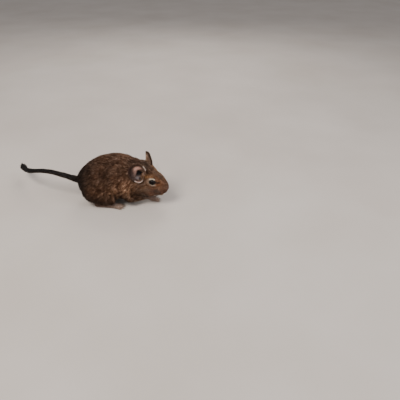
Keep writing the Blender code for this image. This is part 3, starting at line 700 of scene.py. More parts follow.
    out["lie"] = unit(sum(w[:, i][:, None] * lie[part] for i, part in enumerate(PARTS)))
    return out


CREASES = ((-12.0, 0.4), (-7.4, 0.5), (-2.2, 0.6), (3.4, 0.8), (8.6, 0.7), (13.6, 1.0), (18.8, 0.75), (23.6, 0.5))


def creases(p):
    """1 in the bottom of the upright creases on the shoulder, 0 between them."""
    out = np.zeros(len(p))
    for k, (x, d) in enumerate(CREASES):
        line = x + (p[:, 2] - 24) * (0.02 + 0.02 * k) + 0.8 * noise(p, 9, 40 + k)
        out = np.maximum(out, d * np.exp(-((p[:, 0] - line) / 1.15) ** 2))
    return out


def streaks(p):
    """1 on the ridges between the creases, a painted highlight, and on the two paler bows round the haunch."""
    out = np.zeros(len(p))
    for k, (x, d) in enumerate(((-9.6, 0.4), (-4.6, 0.5), (0.8, 0.75), (6.2, 0.8), (11.2, 0.3), (16.4, 0.55), (21.5, 0.7))):
        line = x + (p[:, 2] - 24) * (0.03 + 0.02 * k) + 0.8 * noise(p, 9, 40 + k)
        out = np.maximum(out, d * np.exp(-((p[:, 0] - line) / 0.95) ** 2))
    r = np.hypot(p[:, 0] + 13, 0.8 * (p[:, 2] - 28)) + 0.6 * noise(p, 8, 52)
    for at in (14.6, 18.0):
        out = np.maximum(out, 0.8 * np.exp(-((r - at) / 0.9) ** 2) * ease(p[:, 0], -20, -25))
    return out * ease(np.abs(p[:, 1]), 8, 14) * ease(p[:, 2], 10, 17) * ease(p[:, 2], 45, 35)


def part_weight(f, *names):
    return sum(f["w"][:, PARTS.index(k)] for k in names)


# ---------------------------------------------------------------- lids
LID_WIDE, LID_HIGH, LID_LOW = 61.0, 54.0, 49.0      # the open eye, in degrees from the middle of the ball


def eye_fields(p):
    """Distance outside the lid margin (below 0 over the bare eye), distance from the ball's middle, and the way out from the eye's middle."""
    best = np.full(len(p), 99.0)
    far = np.full(len(p), 99.0)
    ray = np.zeros((len(p), 3))
    which = np.zeros(len(p))
    across = np.zeros((len(p), 2))
    for s in (1, -1):
        c, out, nose, up = EYES[s]
        q = p - c
        rho = np.linalg.norm(q, axis=1)
        u = q / np.maximum(rho, 1e-6)[:, None]
        a, b, o = u @ nose, u @ up, u @ out
        th = np.arccos(np.clip(o, -1, 1))
        k = np.hypot(a, b) + 1e-9
        x, y = th * a / k, th * b / k
        wide = math.radians(LID_WIDE)
        high = np.where(y > 0, math.radians(LID_HIGH), math.radians(LID_LOW))
        g = ((np.abs(x) / wide) ** 1.9 + (np.abs(y) / high) ** 1.9) ** (1 / 1.9) + 1e-6
        m = np.maximum(EYE_RADIUS * th * (1 - 1 / g), rho - 6.2)
        near = rho < far
        far[near], best[near], ray[near], which[near] = rho[near], m[near], u[near], s
        across[near] = np.stack([x, y], 1)[near]
    return best, far, ray, which, across


def lid_radius(m):
    """How far the lid stands from the middle of the ball, by the distance from its margin."""
    r = EYE_RADIUS
    return table(m, (-9, r - 0.9), (-0.36, r - 0.75), (-0.14, r - 0.05), (-0.03, r + 0.22), (0.08, r + 0.34), (0.26, r + 0.37), (0.55, r + 0.30),
                 (0.9, r + 0.24), (1.4, r + 0.32), (2.2, r + 0.22), (3.6, r - 0.6), (5.6, r - 3))


def soft_max(a, b, k):
    return np.log(np.exp(np.clip((a - b) / k, -40, 40)) + 1) * k + b


def nostril(h, s):
    """Distance from the slit of a nostril, and place along it."""
    a = h - np.array([0.55, 1.35 * s, 0.45])
    run = unit(np.array([-0.45, 0.75 * s, 0.42]))
    t = a @ run
    return np.linalg.norm(a - t[:, None] * run, axis=1), t


# ---------------------------------------------------------------- the skin
def refine(mesh, places, reach, rounds):
    """Quarter the faces near the places."""
    for k in range(rounds):
        bm = bmesh.new()
        bm.from_mesh(mesh)
        pts = [Vector(c) for c in places]
        edges = [e for e in bm.edges if any((e.verts[0].co - c).length < reach[k] and (e.verts[1].co - c).length < reach[k] for c in pts)]
        bmesh.ops.subdivide_edges(bm, edges=edges, cuts=1, use_grid_fill=True, smooth=0.0)
        bm.to_mesh(mesh)
        bm.free()
        mesh.update()


def build_skin():
    global CLAWS
    bm = bmesh.new()
    trunk_masses(bm)
    head_masses(bm)
    for s in (1, -1):
        haunch_masses(bm, s)
        arm_masses(bm, s)
    tail_masses(bm)
    obj = mm_object(bm, "skin")
    with_modifiers(obj, ("REMESH", dict(mode="VOXEL", voxel_size=1.1)), ("SMOOTH", dict(factor=0.5, iterations=9)))
    p, n = spots(obj.data), directions(obj.data)
    f = body_fields(p)
    depth = relaxed(f["depth"][:, None], edges_of(obj.data), 4)[:, 0]
    # the skin creases where the shoulder is drawn up behind the cheek
    sideways = ease(np.abs(p[:, 1]), 8, 14) * ease(p[:, 2], 8, 14) * ease(p[:, 2], 42, 30)
    depth = depth + 1.5 * sideways * creases(p)
    q = p - n * depth[:, None]
    # the tail's core is drawn in under its bristles
    u, c = f["tail_u"], f["tail_c"]
    core = table(u, (0, 5.1), (0.1, 3.5), (0.2, 2.65), (0.35, 2.2), (0.5, 1.95), (0.65, 1.65), (0.8, 1.35), (0.92, 1.05), (1, 0.5))
    away = p - c
    r = np.linalg.norm(away, axis=1)
    w = part_weight(f, "tail") * ease(u, 0.04, 0.16)
    q = mix(q, c + away * (core / np.maximum(r, 0.3))[:, None], w)
    put_spots(obj.data, relaxed(q, edges_of(obj.data), 2, 0.35))

    # paws, ears and nose pad are let in, and the whole is made one skin
    bm = bmesh.new()
    CLAWS = bmesh.new()
    for s in (1, -1):
        forefoot_masses(bm, s)
        hindfoot_masses(bm, s)
        ball(bm, (0, -6.3, 0.2), (6.2, 5.0, 6.2), ear_frame(s))
        ball(bm, (EYE_AT[0], EYE_AT[1] * s, EYE_AT[2]), (3.3, 3.3, 3.3), HEAD)
    ball(bm, (-1.9, 0, 0.5), (2.7, 2.7, 2.4), HEAD)
    parts = mm_object(bm, "let_in")
    claws, CLAWS = CLAWS, None
    ears = []
    for s in (1, -1):
        bm = bmesh.new()
        around, steps = 72, 22
        f_ear = ear_frame(s)
        hub = bm.verts.new(f_ear @ ear_point(0, 0))
        reach = rim_profile(np.arange(around) * 2 * math.pi / around, s)
        rings = [[bm.verts.new(f_ear @ ear_point(2 * math.pi * k / around, reach[k] * (j + 1) / steps)) for k in range(around)] for j in range(steps)]
        for k in range(around):
            i = (k + 1) % around
            bm.faces.new((hub, rings[0][k], rings[0][i]))
            for a, b in zip(rings, rings[1:]):
                bm.faces.new((a[k], b[k], b[i], a[i]))
        ear = mm_object(bm, "ear")
        with_modifiers(ear, ("SOLIDIFY", dict(thickness=1.05, offset=0.0, use_even_offset=False)))
        ears.append(ear)
    with bpy.context.temp_override(active_object=obj, selected_editable_objects=[obj, parts, *ears]):
        bpy.ops.object.join()
    with_modifiers(obj, ("REMESH", dict(mode="VOXEL", voxel_size=SKIN_GRAIN)), ("SMOOTH", dict(factor=0.5, iterations=3)))
    refine(obj.data, [EYES[1][0], EYES[-1][0]], (7.5, 6.0), 2)
    refine(obj.data, [in_head(-0.5, 0, -1.0)], (6.0,), 1)
    mesh = obj.data
    p, n = spots(mesh), directions(mesh)
    keep = largest_part(mesh)
    if not keep.all():
        bm = bmesh.new()
        bm.from_mesh(mesh)
        bm.verts.ensure_lookup_table()
        bmesh.ops.delete(bm, geom=[bm.verts[i] for i in np.flatnonzero(~keep)], context="VERTS")
        bm.to_mesh(mesh)
        bm.free()
        p, n = spots(mesh), directions(mesh)
    f, smooth = body_fields(p), p
    h = f["h"]
    move = np.zeros(len(p))
    # paws are drawn in by their short coat, but not the soles
    move -= 0.2 * part_weight(f, "fore", "hind") * ease(n[:, 2], -0.5, 0.1)
    # nose: two comma slits, the groove under them and the line of the mouth
    for s in (1, -1):
        d, t = nostril(h, s)
        move -= 0.95 * np.exp(-(d / 0.42) ** 2) * np.exp(-((t - 0.2) / 0.75) ** 2)
        move += 0.16 * np.exp(-((d - 0.85) / 0.4) ** 2) * np.exp(-((t - 0.2) / 0.8) ** 2)
    front = ease(h[:, 0], -7, -3.5)
    move -= 0.5 * front * np.exp(-(h[:, 1] / 0.42) ** 2) * ease(h[:, 2], -0.6, -1.8) * ease(h[:, 2], -9.4, -8.0)
    mouth = -8.3 - 0.16 * np.clip(-h[:, 0], 0, 14) + 0.35 * np.abs(h[:, 1]) * front
    on_head = part_weight(f, "head")
    move -= 0.62 * on_head * np.exp(-((h[:, 2] - mouth) / 0.5) ** 2) * ease(h[:, 0], -14.5, -11)
    move += 0.28 * on_head * np.exp(-((h[:, 2] - mouth - 1.3) / 0.8) ** 2) * ease(h[:, 0], -13, -8)
    # whisker pad: low swellings in rows
    pad = np.exp(-(((h[:, 0] + 8.0) / 4.6) ** 2 + ((h[:, 2] + 4.0) / 3.2) ** 2)) * ease(np.abs(h[:, 1]), 3, 5)
    move += 0.16 * pad * np.cos(h[:, 2] * 2 * math.pi / 2.1)
    # ears: rolled rim, folds low in the cup, the way into the head
    t, phi, ins = f["ear_t"], f["ear_phi"], f["ear_lift"] > 0
    is_ear = part_weight(f, "ear")
    fold = np.zeros(len(p))
    fold += 0.28 * np.exp(-((t - 0.94) / 0.05) ** 2)
    fold -= 0.22 * np.exp(-((t - 0.82) / 0.07) ** 2)
    low = ease(np.cos(phi - math.radians(250)), 0.1, 0.7)
    fold += 0.42 * low * ease(t, 0.25, 0.4) * ease(t, 0.85, 0.6) * np.cos((phi - math.radians(250)) * 7.0 + 3.0 * t)
    high = ease(np.cos(phi - math.radians(95)), 0.35, 0.8)
    fold += 0.14 * high * ease(t, 0.3, 0.5) * ease(t, 0.92, 0.8) * np.cos((phi - math.radians(95)) * 9.0)
    fold += 1.1 * ear_spot(t, phi, (0.62, -16), (0.26, 0.15), 76)
    fold += 0.8 * ear_spot(t, phi, (0.52, 262), (0.15, 0.12), 10)
    fold -= 0.8 * ear_spot(t, phi, (0.47, 284), (0.16, 0.10), 100)
    fold -= 2.0 * ear_spot(t, phi, (0.18, 48), (0.36, 0.18), 36)
    fold -= 2.6 * ear_spot(t, phi, (0.13, 50), (0.22, 0.13), 36)
    fold += 0.5 * ear_spot(t, phi, (0.44, 128), (0.30, 0.07), 40)
    # only the root of the ear is thick enough for the hollow
    fold = np.maximum(fold, -table(rim_value(EAR_REACH, phi) * t ** 0.85, (0, 6.0), (2.5, 4.4), (3.6, 2.4), (4.8, 0.7), (30, 0.45)))
    move += fold * is_ear * ins
    p = p + n * move[:, None]
    # lids wrap the ball of each eye
    m, rho, ray, which, _ = eye_fields(p)
    for s in (1, -1):
        c, out, nose, up = EYES[s]
        mine = (which == s) & (rho < 11) & (ray @ out > 0.05)
        target = lid_radius(m)
        new = np.where(m < 0, target, soft_max(rho, target, 0.22))
        fade = ease(ray @ out, 0.05, 0.3)
        new = mix(rho, new, fade)
        p[mine] = (c + ray * new[:, None])[mine]
    p[:, 2] = np.maximum(p[:, 2], 0.0)
    put_spots(mesh, p)
    return obj, claws, smooth


def largest_part(mesh):
    """True for the vertices of the mesh's biggest connected part."""
    n = len(mesh.vertices)
    label = np.arange(n)
    e = edges_of(mesh)
    while True:
        low = np.minimum(label[e[:, 0]], label[e[:, 1]])
        new = label.copy()
        np.minimum.at(new, e[:, 0], low)
        np.minimum.at(new, e[:, 1], low)
        new = new[new]
        if (new == label).all():
            break
        label = new
    return label == np.bincount(label).argmax()


# ---------------------------------------------------------------- markings, the same for skin and coat
BACK, FLANK, RUMP = tone(92, 66, 50), tone(105, 75, 55), tone(48, 36, 29)
BELLY, SHOULDER = tone(142, 119, 95), tone(138, 102, 76)
CROWN, CHEEK, MUZZLE, CHIN = tone(92, 69, 54), tone(110, 86, 70), tone(119, 83, 60), tone(158, 132, 104)
EYE_RING, ORANGE, PAD, LIP = tone(228, 208, 184), tone(178, 124, 74), tone(150, 112, 86), tone(90, 50, 36)
RUST, DUSK = tone(128, 82, 52), tone(74, 58, 50)
EAR_SHADE, SNOUT = tone(60, 42, 37), tone(106, 77, 62)
EAR_ROOT, EAR_GREY, CHEEK_GREY = tone(176, 148, 130), tone(108, 98, 100), tone(132, 115, 102)
EAR_BACK_HAIR, EAR_PALE_HAIR = tone(177, 145, 122), tone(242, 230, 216)
TAIL_TOP, TAIL_UNDER = tone(38, 32, 29), tone(78, 64, 54)
PAW, TOE = tone(146, 121, 106), tone(176, 148, 130)
EAR_PINK, EAR_SKIN, EAR_MAUVE, EAR_PIT_SHADE = tone(226, 178, 162), tone(90, 66, 54), tone(76, 58, 54), tone(12, 7, 6)
NOSE_SKIN, LID_SKIN, SOLE_SKIN, HIDE = tone(96, 66, 58), tone(26, 18, 15), tone(132, 110, 104), tone(120, 96, 84)


GREYER = np.array([0.84, 1.0, 1.18])      # light hairs are greyer than dark ones


def spot(h, at, size):
    """A soft patch on the head, the same on both sides."""
    q = (np.stack([h[:, 0], np.abs(h[:, 1]), h[:, 2]], 1) - np.array(at)) / np.array(size)
    return np.exp(-(q ** 2).sum(1))


def markings(p, n, f):
    """Colour of the coat, colour of the skin, and how bare it is."""
    h = f["h"]
    hx, hy, hz = h[:, 0], h[:, 1], h[:, 2]
    m, rho, ray, which, across = eye_fields(p)
    z = p[:, 2]
    body = mix(FLANK, BACK, ease(z, 26, 54))
    body = mix(body, SHOULDER, 0.75 * ease(p[:, 0], -6, 10) * ease(z, 46, 28))
    body = mix(body, RUMP, ease(p[:, 0], -14, -42))
    # painted shade: the lower flank is darkened towards the belly; the upper front of the shoulder is made lighter
    body = body * (1 - 0.60 * ease(z, 29, 14))[:, None] * (1 + 0.30 * ease(p[:, 0], 9, 15) * ease(z, 26, 32))[:, None]
    belly = ease(n[:, 2], -0.35, -0.9) * ease(z, 24, 12)
    body = mix(body, BELLY, belly)
    hairward = np.array([-0.86, 0, -0.51])
    drawn = p - 0.62 * (p @ hairward)[:, None] * hairward
    patch = np.exp(0.18 * noise(p, 14, 1) + 0.22 * noise(p, 6.5, 2) + 0.34 * noise(drawn, 2.9, 9) + 0.46 * noise(drawn, 1.5, 12))
    body = body * patch[:, None] ** GREYER
    body = body * (1 + 0.08 * noise(p, 8, 10)[:, None] * np.array([1.0, 0.2, -0.5]))
    # painted shade in the creases of the shoulder; painted highlights on the ridges between them; paler bows round the
    # haunch
    folds = creases(p) * ease(np.abs(p[:, 1]), 8, 14) * ease(z, 8, 14) * ease(z, 42, 30)
    body = body * (1 - 0.55 * folds)[:, None] * (1 + 0.55 * streaks(p))[:, None]
    # darker over the nape and between the ears, partly dark fur and partly painted shade; lighter behind the ear;
    # painted highlights on the ridges of the shoulder and painted shade in the crease between them
    nape = 1 - 0.58 * spot(p, (31.5, 6, 58), (9, 7, 4.5)) - 0.60 * spot(p, (43.5, 6, 53.5), (6.0, 5.5, 5.0)) + 0.42 * spot(p, (18.5, 23, 44), (6, 8, 6))
    nape = nape - 0.24 * spot(p, (11.9, 24, 31), (2.6, 9, 6)) + 0.26 * spot(p, (6.6, 24, 31), (2.4, 9, 6)) + 0.22 * spot(p, (22, 24, 32), (3, 9, 6))
    body = body * nape[:, None]

    head = mix(CROWN, CHEEK, ease(hz, 6, -6))
    head = mix(head, MUZZLE, ease(hx, -25, -14))
    head = mix(head, DUSK, 0.55 * spot(h, (-27, 1.0, 16.5), (7, 5, 4)))
    head = mix(head, CROWN * 0.9, 0.85 * ease(np.abs(hy), 5.6, 3.0) * ease(hz, 4.0, 8.0) * ease(hx, -5, -12))
    head = mix(head, EAR_ROOT, 0.9 * spot(h, (-37.0, 7.5, 17.5), (5.2, 4.4, 5.0)))
    head = mix(head, SNOUT, 0.6 * ease(hx, -12, -5))
    head = mix(head, RUST, 0.60 * spot(h, (-12.0, 8.5, 5.5), (4.2, 4.0, 3.2)))
    head = mix(head, ORANGE, np.clip(1.5 * spot(h, (-29.2, 10.0, 12.0), (3.2, 4.0, 2.7)), 0, 0.95))
    head = mix(head, ORANGE, 0.55 * spot(h, (-25.0, 8.6, 11.6), (3.0, 4.0, 2.4)))
    # darker between and behind the ears: partly dark fur, partly painted shade
    head = mix(head, DUSK * 0.55, 0.9 * np.clip(1.5 * spot(h, (-32.5, 4.5, 16.0), (5.0, 4.2, 3.2)), 0, 1))
    head = mix(head, DUSK * 0.6, 0.5 * spot(h, (-42.0, 4.0, 14.5), (5.0, 5.0, 4.0)))
    head = mix(head, CHEEK_GREY, 0.6 * spot(h, (-30.0, 14.8, 0.5), (2.8, 5.0, 4.2)))
    head = mix(head, PAD, 0.85 * spot(h, (-9.8, 8.8, 2.4), (3.0, 5.0, 3.0)))
    head = mix(head, LIP, 0.60 * spot(h, (-15.8, 11.2, -4.4), (4.0, 5.0, 2.1)))
    head = mix(head, LIP, 0.35 * spot(h, (-3.0, 5.0, -3.4), (3.6, 6.0, 3.4)))
    head = mix(head, DUSK, 0.7 * spot(h, (-35.5, 16.5, -4.4), (3.4, 6, 3.2)))
    throat = ease(n @ np.array(turn_only(HEAD, np.array([[0.1, 0, 1.0]]))[0]), -0.35, -0.85)
    head = mix(head, CHIN, throat * ease(hz, -8, -13))
    # painted shade under the jaw
    head = head * (1 - 0.35 * ease(hz, -9, -13.5) * ease(hx, -13, -19))[:, None]
    head = mix(head, CHIN, 0.7 * ease(hx, -9, -4) * ease(hz, -8.5, -9.8))
    mottle = np.exp(0.36 * noise(p, 4.0, 3) + 0.44 * noise(p, 2.2, 4))
    # the same dark fur and painted shade over the nape reach the back of the head
    head = head * nape[:, None] * mottle[:, None] ** GREYER * (1 + 0.12 * noise(p, 3.6, 11)[:, None] * np.array([1.0, 0.1, -0.6]))
    # the pale ring, widest behind and over the eye, broken in front
    round_eye = np.arctan2(across[:, 1], across[:, 0])
    share = 0.24 + 0.90 * ease(np.cos(round_eye - math.radians(100)), 0.30, 0.85) + 0.80 * ease(np.cos(round_eye + math.radians(72)), 0.35, 0.90)
    share = share * ease(np.abs(np.angle(np.exp(1j * round_eye))), 0.45, 1.0)
    wide_ring = 1.35 + 0.65 * ease(np.cos(round_eye - math.radians(98)), 0.4, 0.9) + 0.65 * ease(np.cos(round_eye + math.radians(68)), 0.50, 0.96)
    ring = ease(m, 0.30, 0.5) * ease(m, wide_ring, wide_ring * 0.55)
    head = mix(head, EYE_RING, np.clip(share, 0, 1) * ring * (rho < 9.5))

    tail = mix(TAIL_UNDER, TAIL_TOP, ease(n[:, 2], -0.7, 0.0))
    tail = mix(mix(RUMP, TAIL_TOP, 0.45), tail, ease(f["tail_u"], 0.03, 0.16))
    tail = mix(tail, TAIL_TOP * 0.8, ease(f["tail_u"], 0.45, 0.7))

    fore = mix(PAW, TOE, ease(f["fore_u"], 0.45, 0.8))
    hind = mix(PAW, TOE, ease(f["hind_u"], 0.55, 0.82))
    arm = mix(body, PAW * 0.9, ease(f["arm_u"], 0.62, 0.95))
    shank = mix(body, PAW * 0.9, ease(f["shank_u"], 0.45, 0.95))

    t, phi = f["ear_t"], f["ear_phi"]
    ins = ease(f["ear_lift"], -0.15, 0.25)
    low_white = ease(np.cos(phi - math.radians(272)), 0.64, 0.84) * ease(t, 0.81, 0.89)
    white = np.maximum(low_white, ease(np.cos(phi - math.radians(56)), 0.962, 0.988) * ease(t, 0.86, 0.91) * ease(t, 1.01, 0.96))
    dark = ease(np.cos(phi - math.radians(85)), 0.0, 0.5)
    ear_hair = mix(EAR_BACK_HAIR + 0 * body, BACK * 0.62, (1 - ins) * dark * ease(t, 0.62, 0.9))
    under = ease(np.cos(phi - math.radians(228)), 0.2, 0.7) * ease(t, 0.5, 0.8) * (1 - ins)
    ear_hair = mix(ear_hair, BACK * 0.8, under)
    ear_hair = mix(ear_hair, EAR_SKIN * 1.1, 0.5 * ins)
    ear_hair = mix(ear_hair, BACK * 0.72, ear_fur(t, phi) * ins)
    shady = ease(np.cos(phi - math.radians(190)), 0.25, 0.75) * ease(t, 0.38, 0.62)
    ear_hair = mix(ear_hair, EAR_SHADE * 1.2, 0.8 * shady * ins)
    ear_hair = mix(ear_hair, EAR_PALE_HAIR, white * ins)
    # painted shade in the ear's hollow and in the pit below it
    ear_hair = mix(ear_hair, EAR_PIT_SHADE, np.maximum(ear_hollow(t, phi), ear_notch(t, phi)) * ins)

    w = f["w"]
    shades = {"trunk": body, "head": head, "arm": arm, "thigh": body, "shank": shank, "fore": fore, "hind": hind, "tail": tail, "ear": ear_hair}
    coat = sum(w[:, i][:, None] * shades[k] for i, k in enumerate(PARTS))

    # bare skin
    inner = mix(EAR_SKIN + 0 * body, EAR_MAUVE, 0.8 * np.clip(1.3 * ear_spot(t, phi, (0.52, 205), (0.42, 0.36), 100), 0, 1))
    # pink skin high in the cup, made brighter in part by painted light shining through the thin ear
    inner = mix(inner, EAR_PINK, np.clip(1.7 * ear_spot(t, phi, (0.47, 105), (0.24, 0.26), 5), 0, 1))
    inner = mix(inner, EAR_GREY, np.clip(1.2 * ear_spot(t, phi, (0.42, 236), (0.22, 0.17), 20), 0, 0.9))
    inner = mix(inner, EAR_MAUVE * 0.8, 0.8 * ear_spot(t, phi, (0.95, 140), (0.40, 0.14), 50))
    inner = mix(inner, EAR_SHADE, 0.75 * shady)
    # painted shade in the ear's hollow and in the pit below it
    inner = mix(inner, EAR_PIT_SHADE, ear_hollow(t, phi))
    inner = mix(inner, EAR_PIT_SHADE, ear_notch(t, phi))
    inner = mix(inner, EAR_PINK * 1.1, 0.85 * white)
    outer = mix(EAR_SKIN * 1.25 + 0 * body, HIDE * 0.45, dark * ease(t, 0.6, 0.92))
    ear_skin = mix(outer, inner, ins) * (1 + 0.12 * noise(p, 2.6, 5) + 0.10 * noise(p, 1.1, 6))[:, None]
    # the skin under the coat is darker than the coat: partly the dark roots of the hairs, partly painted shade deep in
    # the coat
    skin = coat * 0.62
    is_ear = part_weight(f, "ear")
    skin = mix(skin, ear_skin, is_ear)
    sole = part_weight(f, "fore", "hind") * ease(n[:, 2], -0.2, -0.7)
    skin = mix(skin, SOLE_SKIN * (1 + 0.12 * noise(p, 1.2, 7))[:, None], sole)
    nose = ease(np.linalg.norm((h - np.array([-0.6, 0, 0.5])) / np.array([2.5, 2.7, 2.2]), axis=1), 1.12, 0.92)
    skin = mix(skin, NOSE_SKIN * (1 + 0.15 * noise(p, 0.7, 8))[:, None], nose)
    # painted shade in the nostril slits, in the lids' dark skin colour
    for s in (1, -1):
        d, along_it = nostril(h, s)
        slit = np.exp(-(d / 0.5) ** 2) * np.exp(-((along_it - 0.2) / 0.85) ** 2)
        skin = mix(skin, LID_SKIN + 0 * skin, np.clip(1.5 * slit - 0.15, 0, 0.95))
    lid = ease(m, 0.75, 0.4) * (rho < 9)
    skin = mix(skin, LID_SKIN + 0 * skin, lid)
    corner = np.clip(2.2 * np.exp(-((across[:, 0] - math.radians(LID_WIDE + 15)) / 0.34) ** 2 - ((across[:, 1] + 0.08) / 0.13) ** 2), 0, 1) * (rho < 10)
    skin = mix(skin, LID_SKIN + 0 * skin, 0.8 * corner)
    coat = mix(coat, LID_SKIN + 0 * coat, 0.9 * np.maximum(corner, ease(m, 0.55, 0.35) * (rho < 9)))
    bare = np.maximum.reduce([sole, ease(nose, 0.3, 0.8), ease(m, 0.5, 0.35) * (rho < 9)])
    damp = np.maximum(nose * 0.8, lid * 0.7)
    return np.clip(coat, 0.002, 1), np.clip(skin, 0.002, 1), bare, damp


# ---------------------------------------------------------------- the coat
def lie_on_skin(p, n, f, edges):
    """Direction in which the coat lies at each point of the skin."""
    d = f["lie"].copy()
    # it parts round the eyes and the ears' roots
    m, rho, ray, which, _ = eye_fields(p)
    away = unit(ray - n * (ray * n).sum(1, keepdims=True))
    near = ease(rho, 11, 6.5)[:, None]
    against = np.minimum((d * away).sum(1, keepdims=True), 0)
    d = unit(d - away * against * near + away * 0.9 * ease(rho, 9, 5.5)[:, None])
    d = d - n * (d * n).sum(1, keepdims=True)
    d = relaxed(unit(d), edges, 14, 0.6)
    d = d - n * (d * n).sum(1, keepdims=True)
    return unit(d)


def unwrap_of(skin):
    """A coarse copy of the skin, laid flat: its search tree, and the corners' places on the map."""
    proxy = bpy.data.objects.new("proxy", skin.data.copy())
    bpy.context.scene.collection.objects.link(proxy)
    with_modifiers(proxy, ("DECIMATE", dict(ratio=9000 / (2 * len(skin.data.polygons)))), ("TRIANGULATE", {}))
    bpy.context.view_layer.objects.active = proxy
    bpy.ops.object.select_all(action="DESELECT")
    proxy.select_set(True)
    bpy.ops.object.mode_set(mode="EDIT")
    bpy.ops.mesh.select_all(action="SELECT")
    bpy.ops.uv.smart_project(angle_limit=math.radians(66), island_margin=0.004)
    bpy.ops.object.mode_set(mode="OBJECT")
    mesh = proxy.data
    uv = np.empty(len(mesh.loops) * 2, np.float32)
    mesh.uv_layers.active.data.foreach_get("uv", uv)
    uv = uv.reshape(-1, 3, 2)
    co = spots(mesh)
    tri = np.empty(len(mesh.loops), np.int32)
    mesh.loops.foreach_get("vertex_index", tri)
    tri = tri.reshape(-1, 3)
    tree = BVHTree.FromPolygons(co.tolist(), tri.tolist())
    bpy.data.objects.remove(proxy)
    return tree, co, tri, uv


def place_on_map(p, unwrap):
    tree, co, tri, uv = unwrap
    hit = np.array([(*r[0], r[2]) for r in (tree.find_nearest(Vector(q)) for q in p)])
    at, k = hit[:, :3], hit[:, 3].astype(int)
    a, b, c = (co[tri[k, i]] for i in range(3))
    n = np.cross(b - a, c - a)
    area = np.maximum((n ** 2).sum(1), 1e-12)
    wb = (np.cross(at - a, c - a) * n).sum(1) / area
    wc = (np.cross(b - a, at - a) * n).sum(1) / area
    w = np.clip(np.stack([1 - wb - wc, wb, wc], 1), 0, 1)
    return (uv[k] * w[:, :, None]).sum(1)


def sown(mesh, many, count, rng):
    """`count` places on the mesh, evenly sown by `many` per mm2 and vertex: triangle, corner weights."""
    mesh.calc_loop_triangles()
    tri = np.empty(len(mesh.loop_triangles) * 3, np.int32)
    mesh.loop_triangles.foreach_get("vertices", tri)
    tri = tri.reshape(-1, 3)
    co = spots(mesh)
    area = np.linalg.norm(np.cross(co[tri[:, 1]] - co[tri[:, 0]], co[tri[:, 2]] - co[tri[:, 0]]), axis=1) / 2
    need = np.cumsum(area * many[tri].mean(1))
    print("coat asks for", int(need[-1]), "tufts, gets", count)
    k = np.searchsorted(need, (np.arange(count) + rng.random(count)) / count * need[-1])
    k = np.minimum(k, len(tri) - 1)
    r1, r2 = np.sqrt(rng.random(count)), rng.random(count)
    w = np.stack([1 - r1, r1 * (1 - r2), r1 * r2], 1)
    order = rng.permutation(count)
    return tri[k][order], w[order]


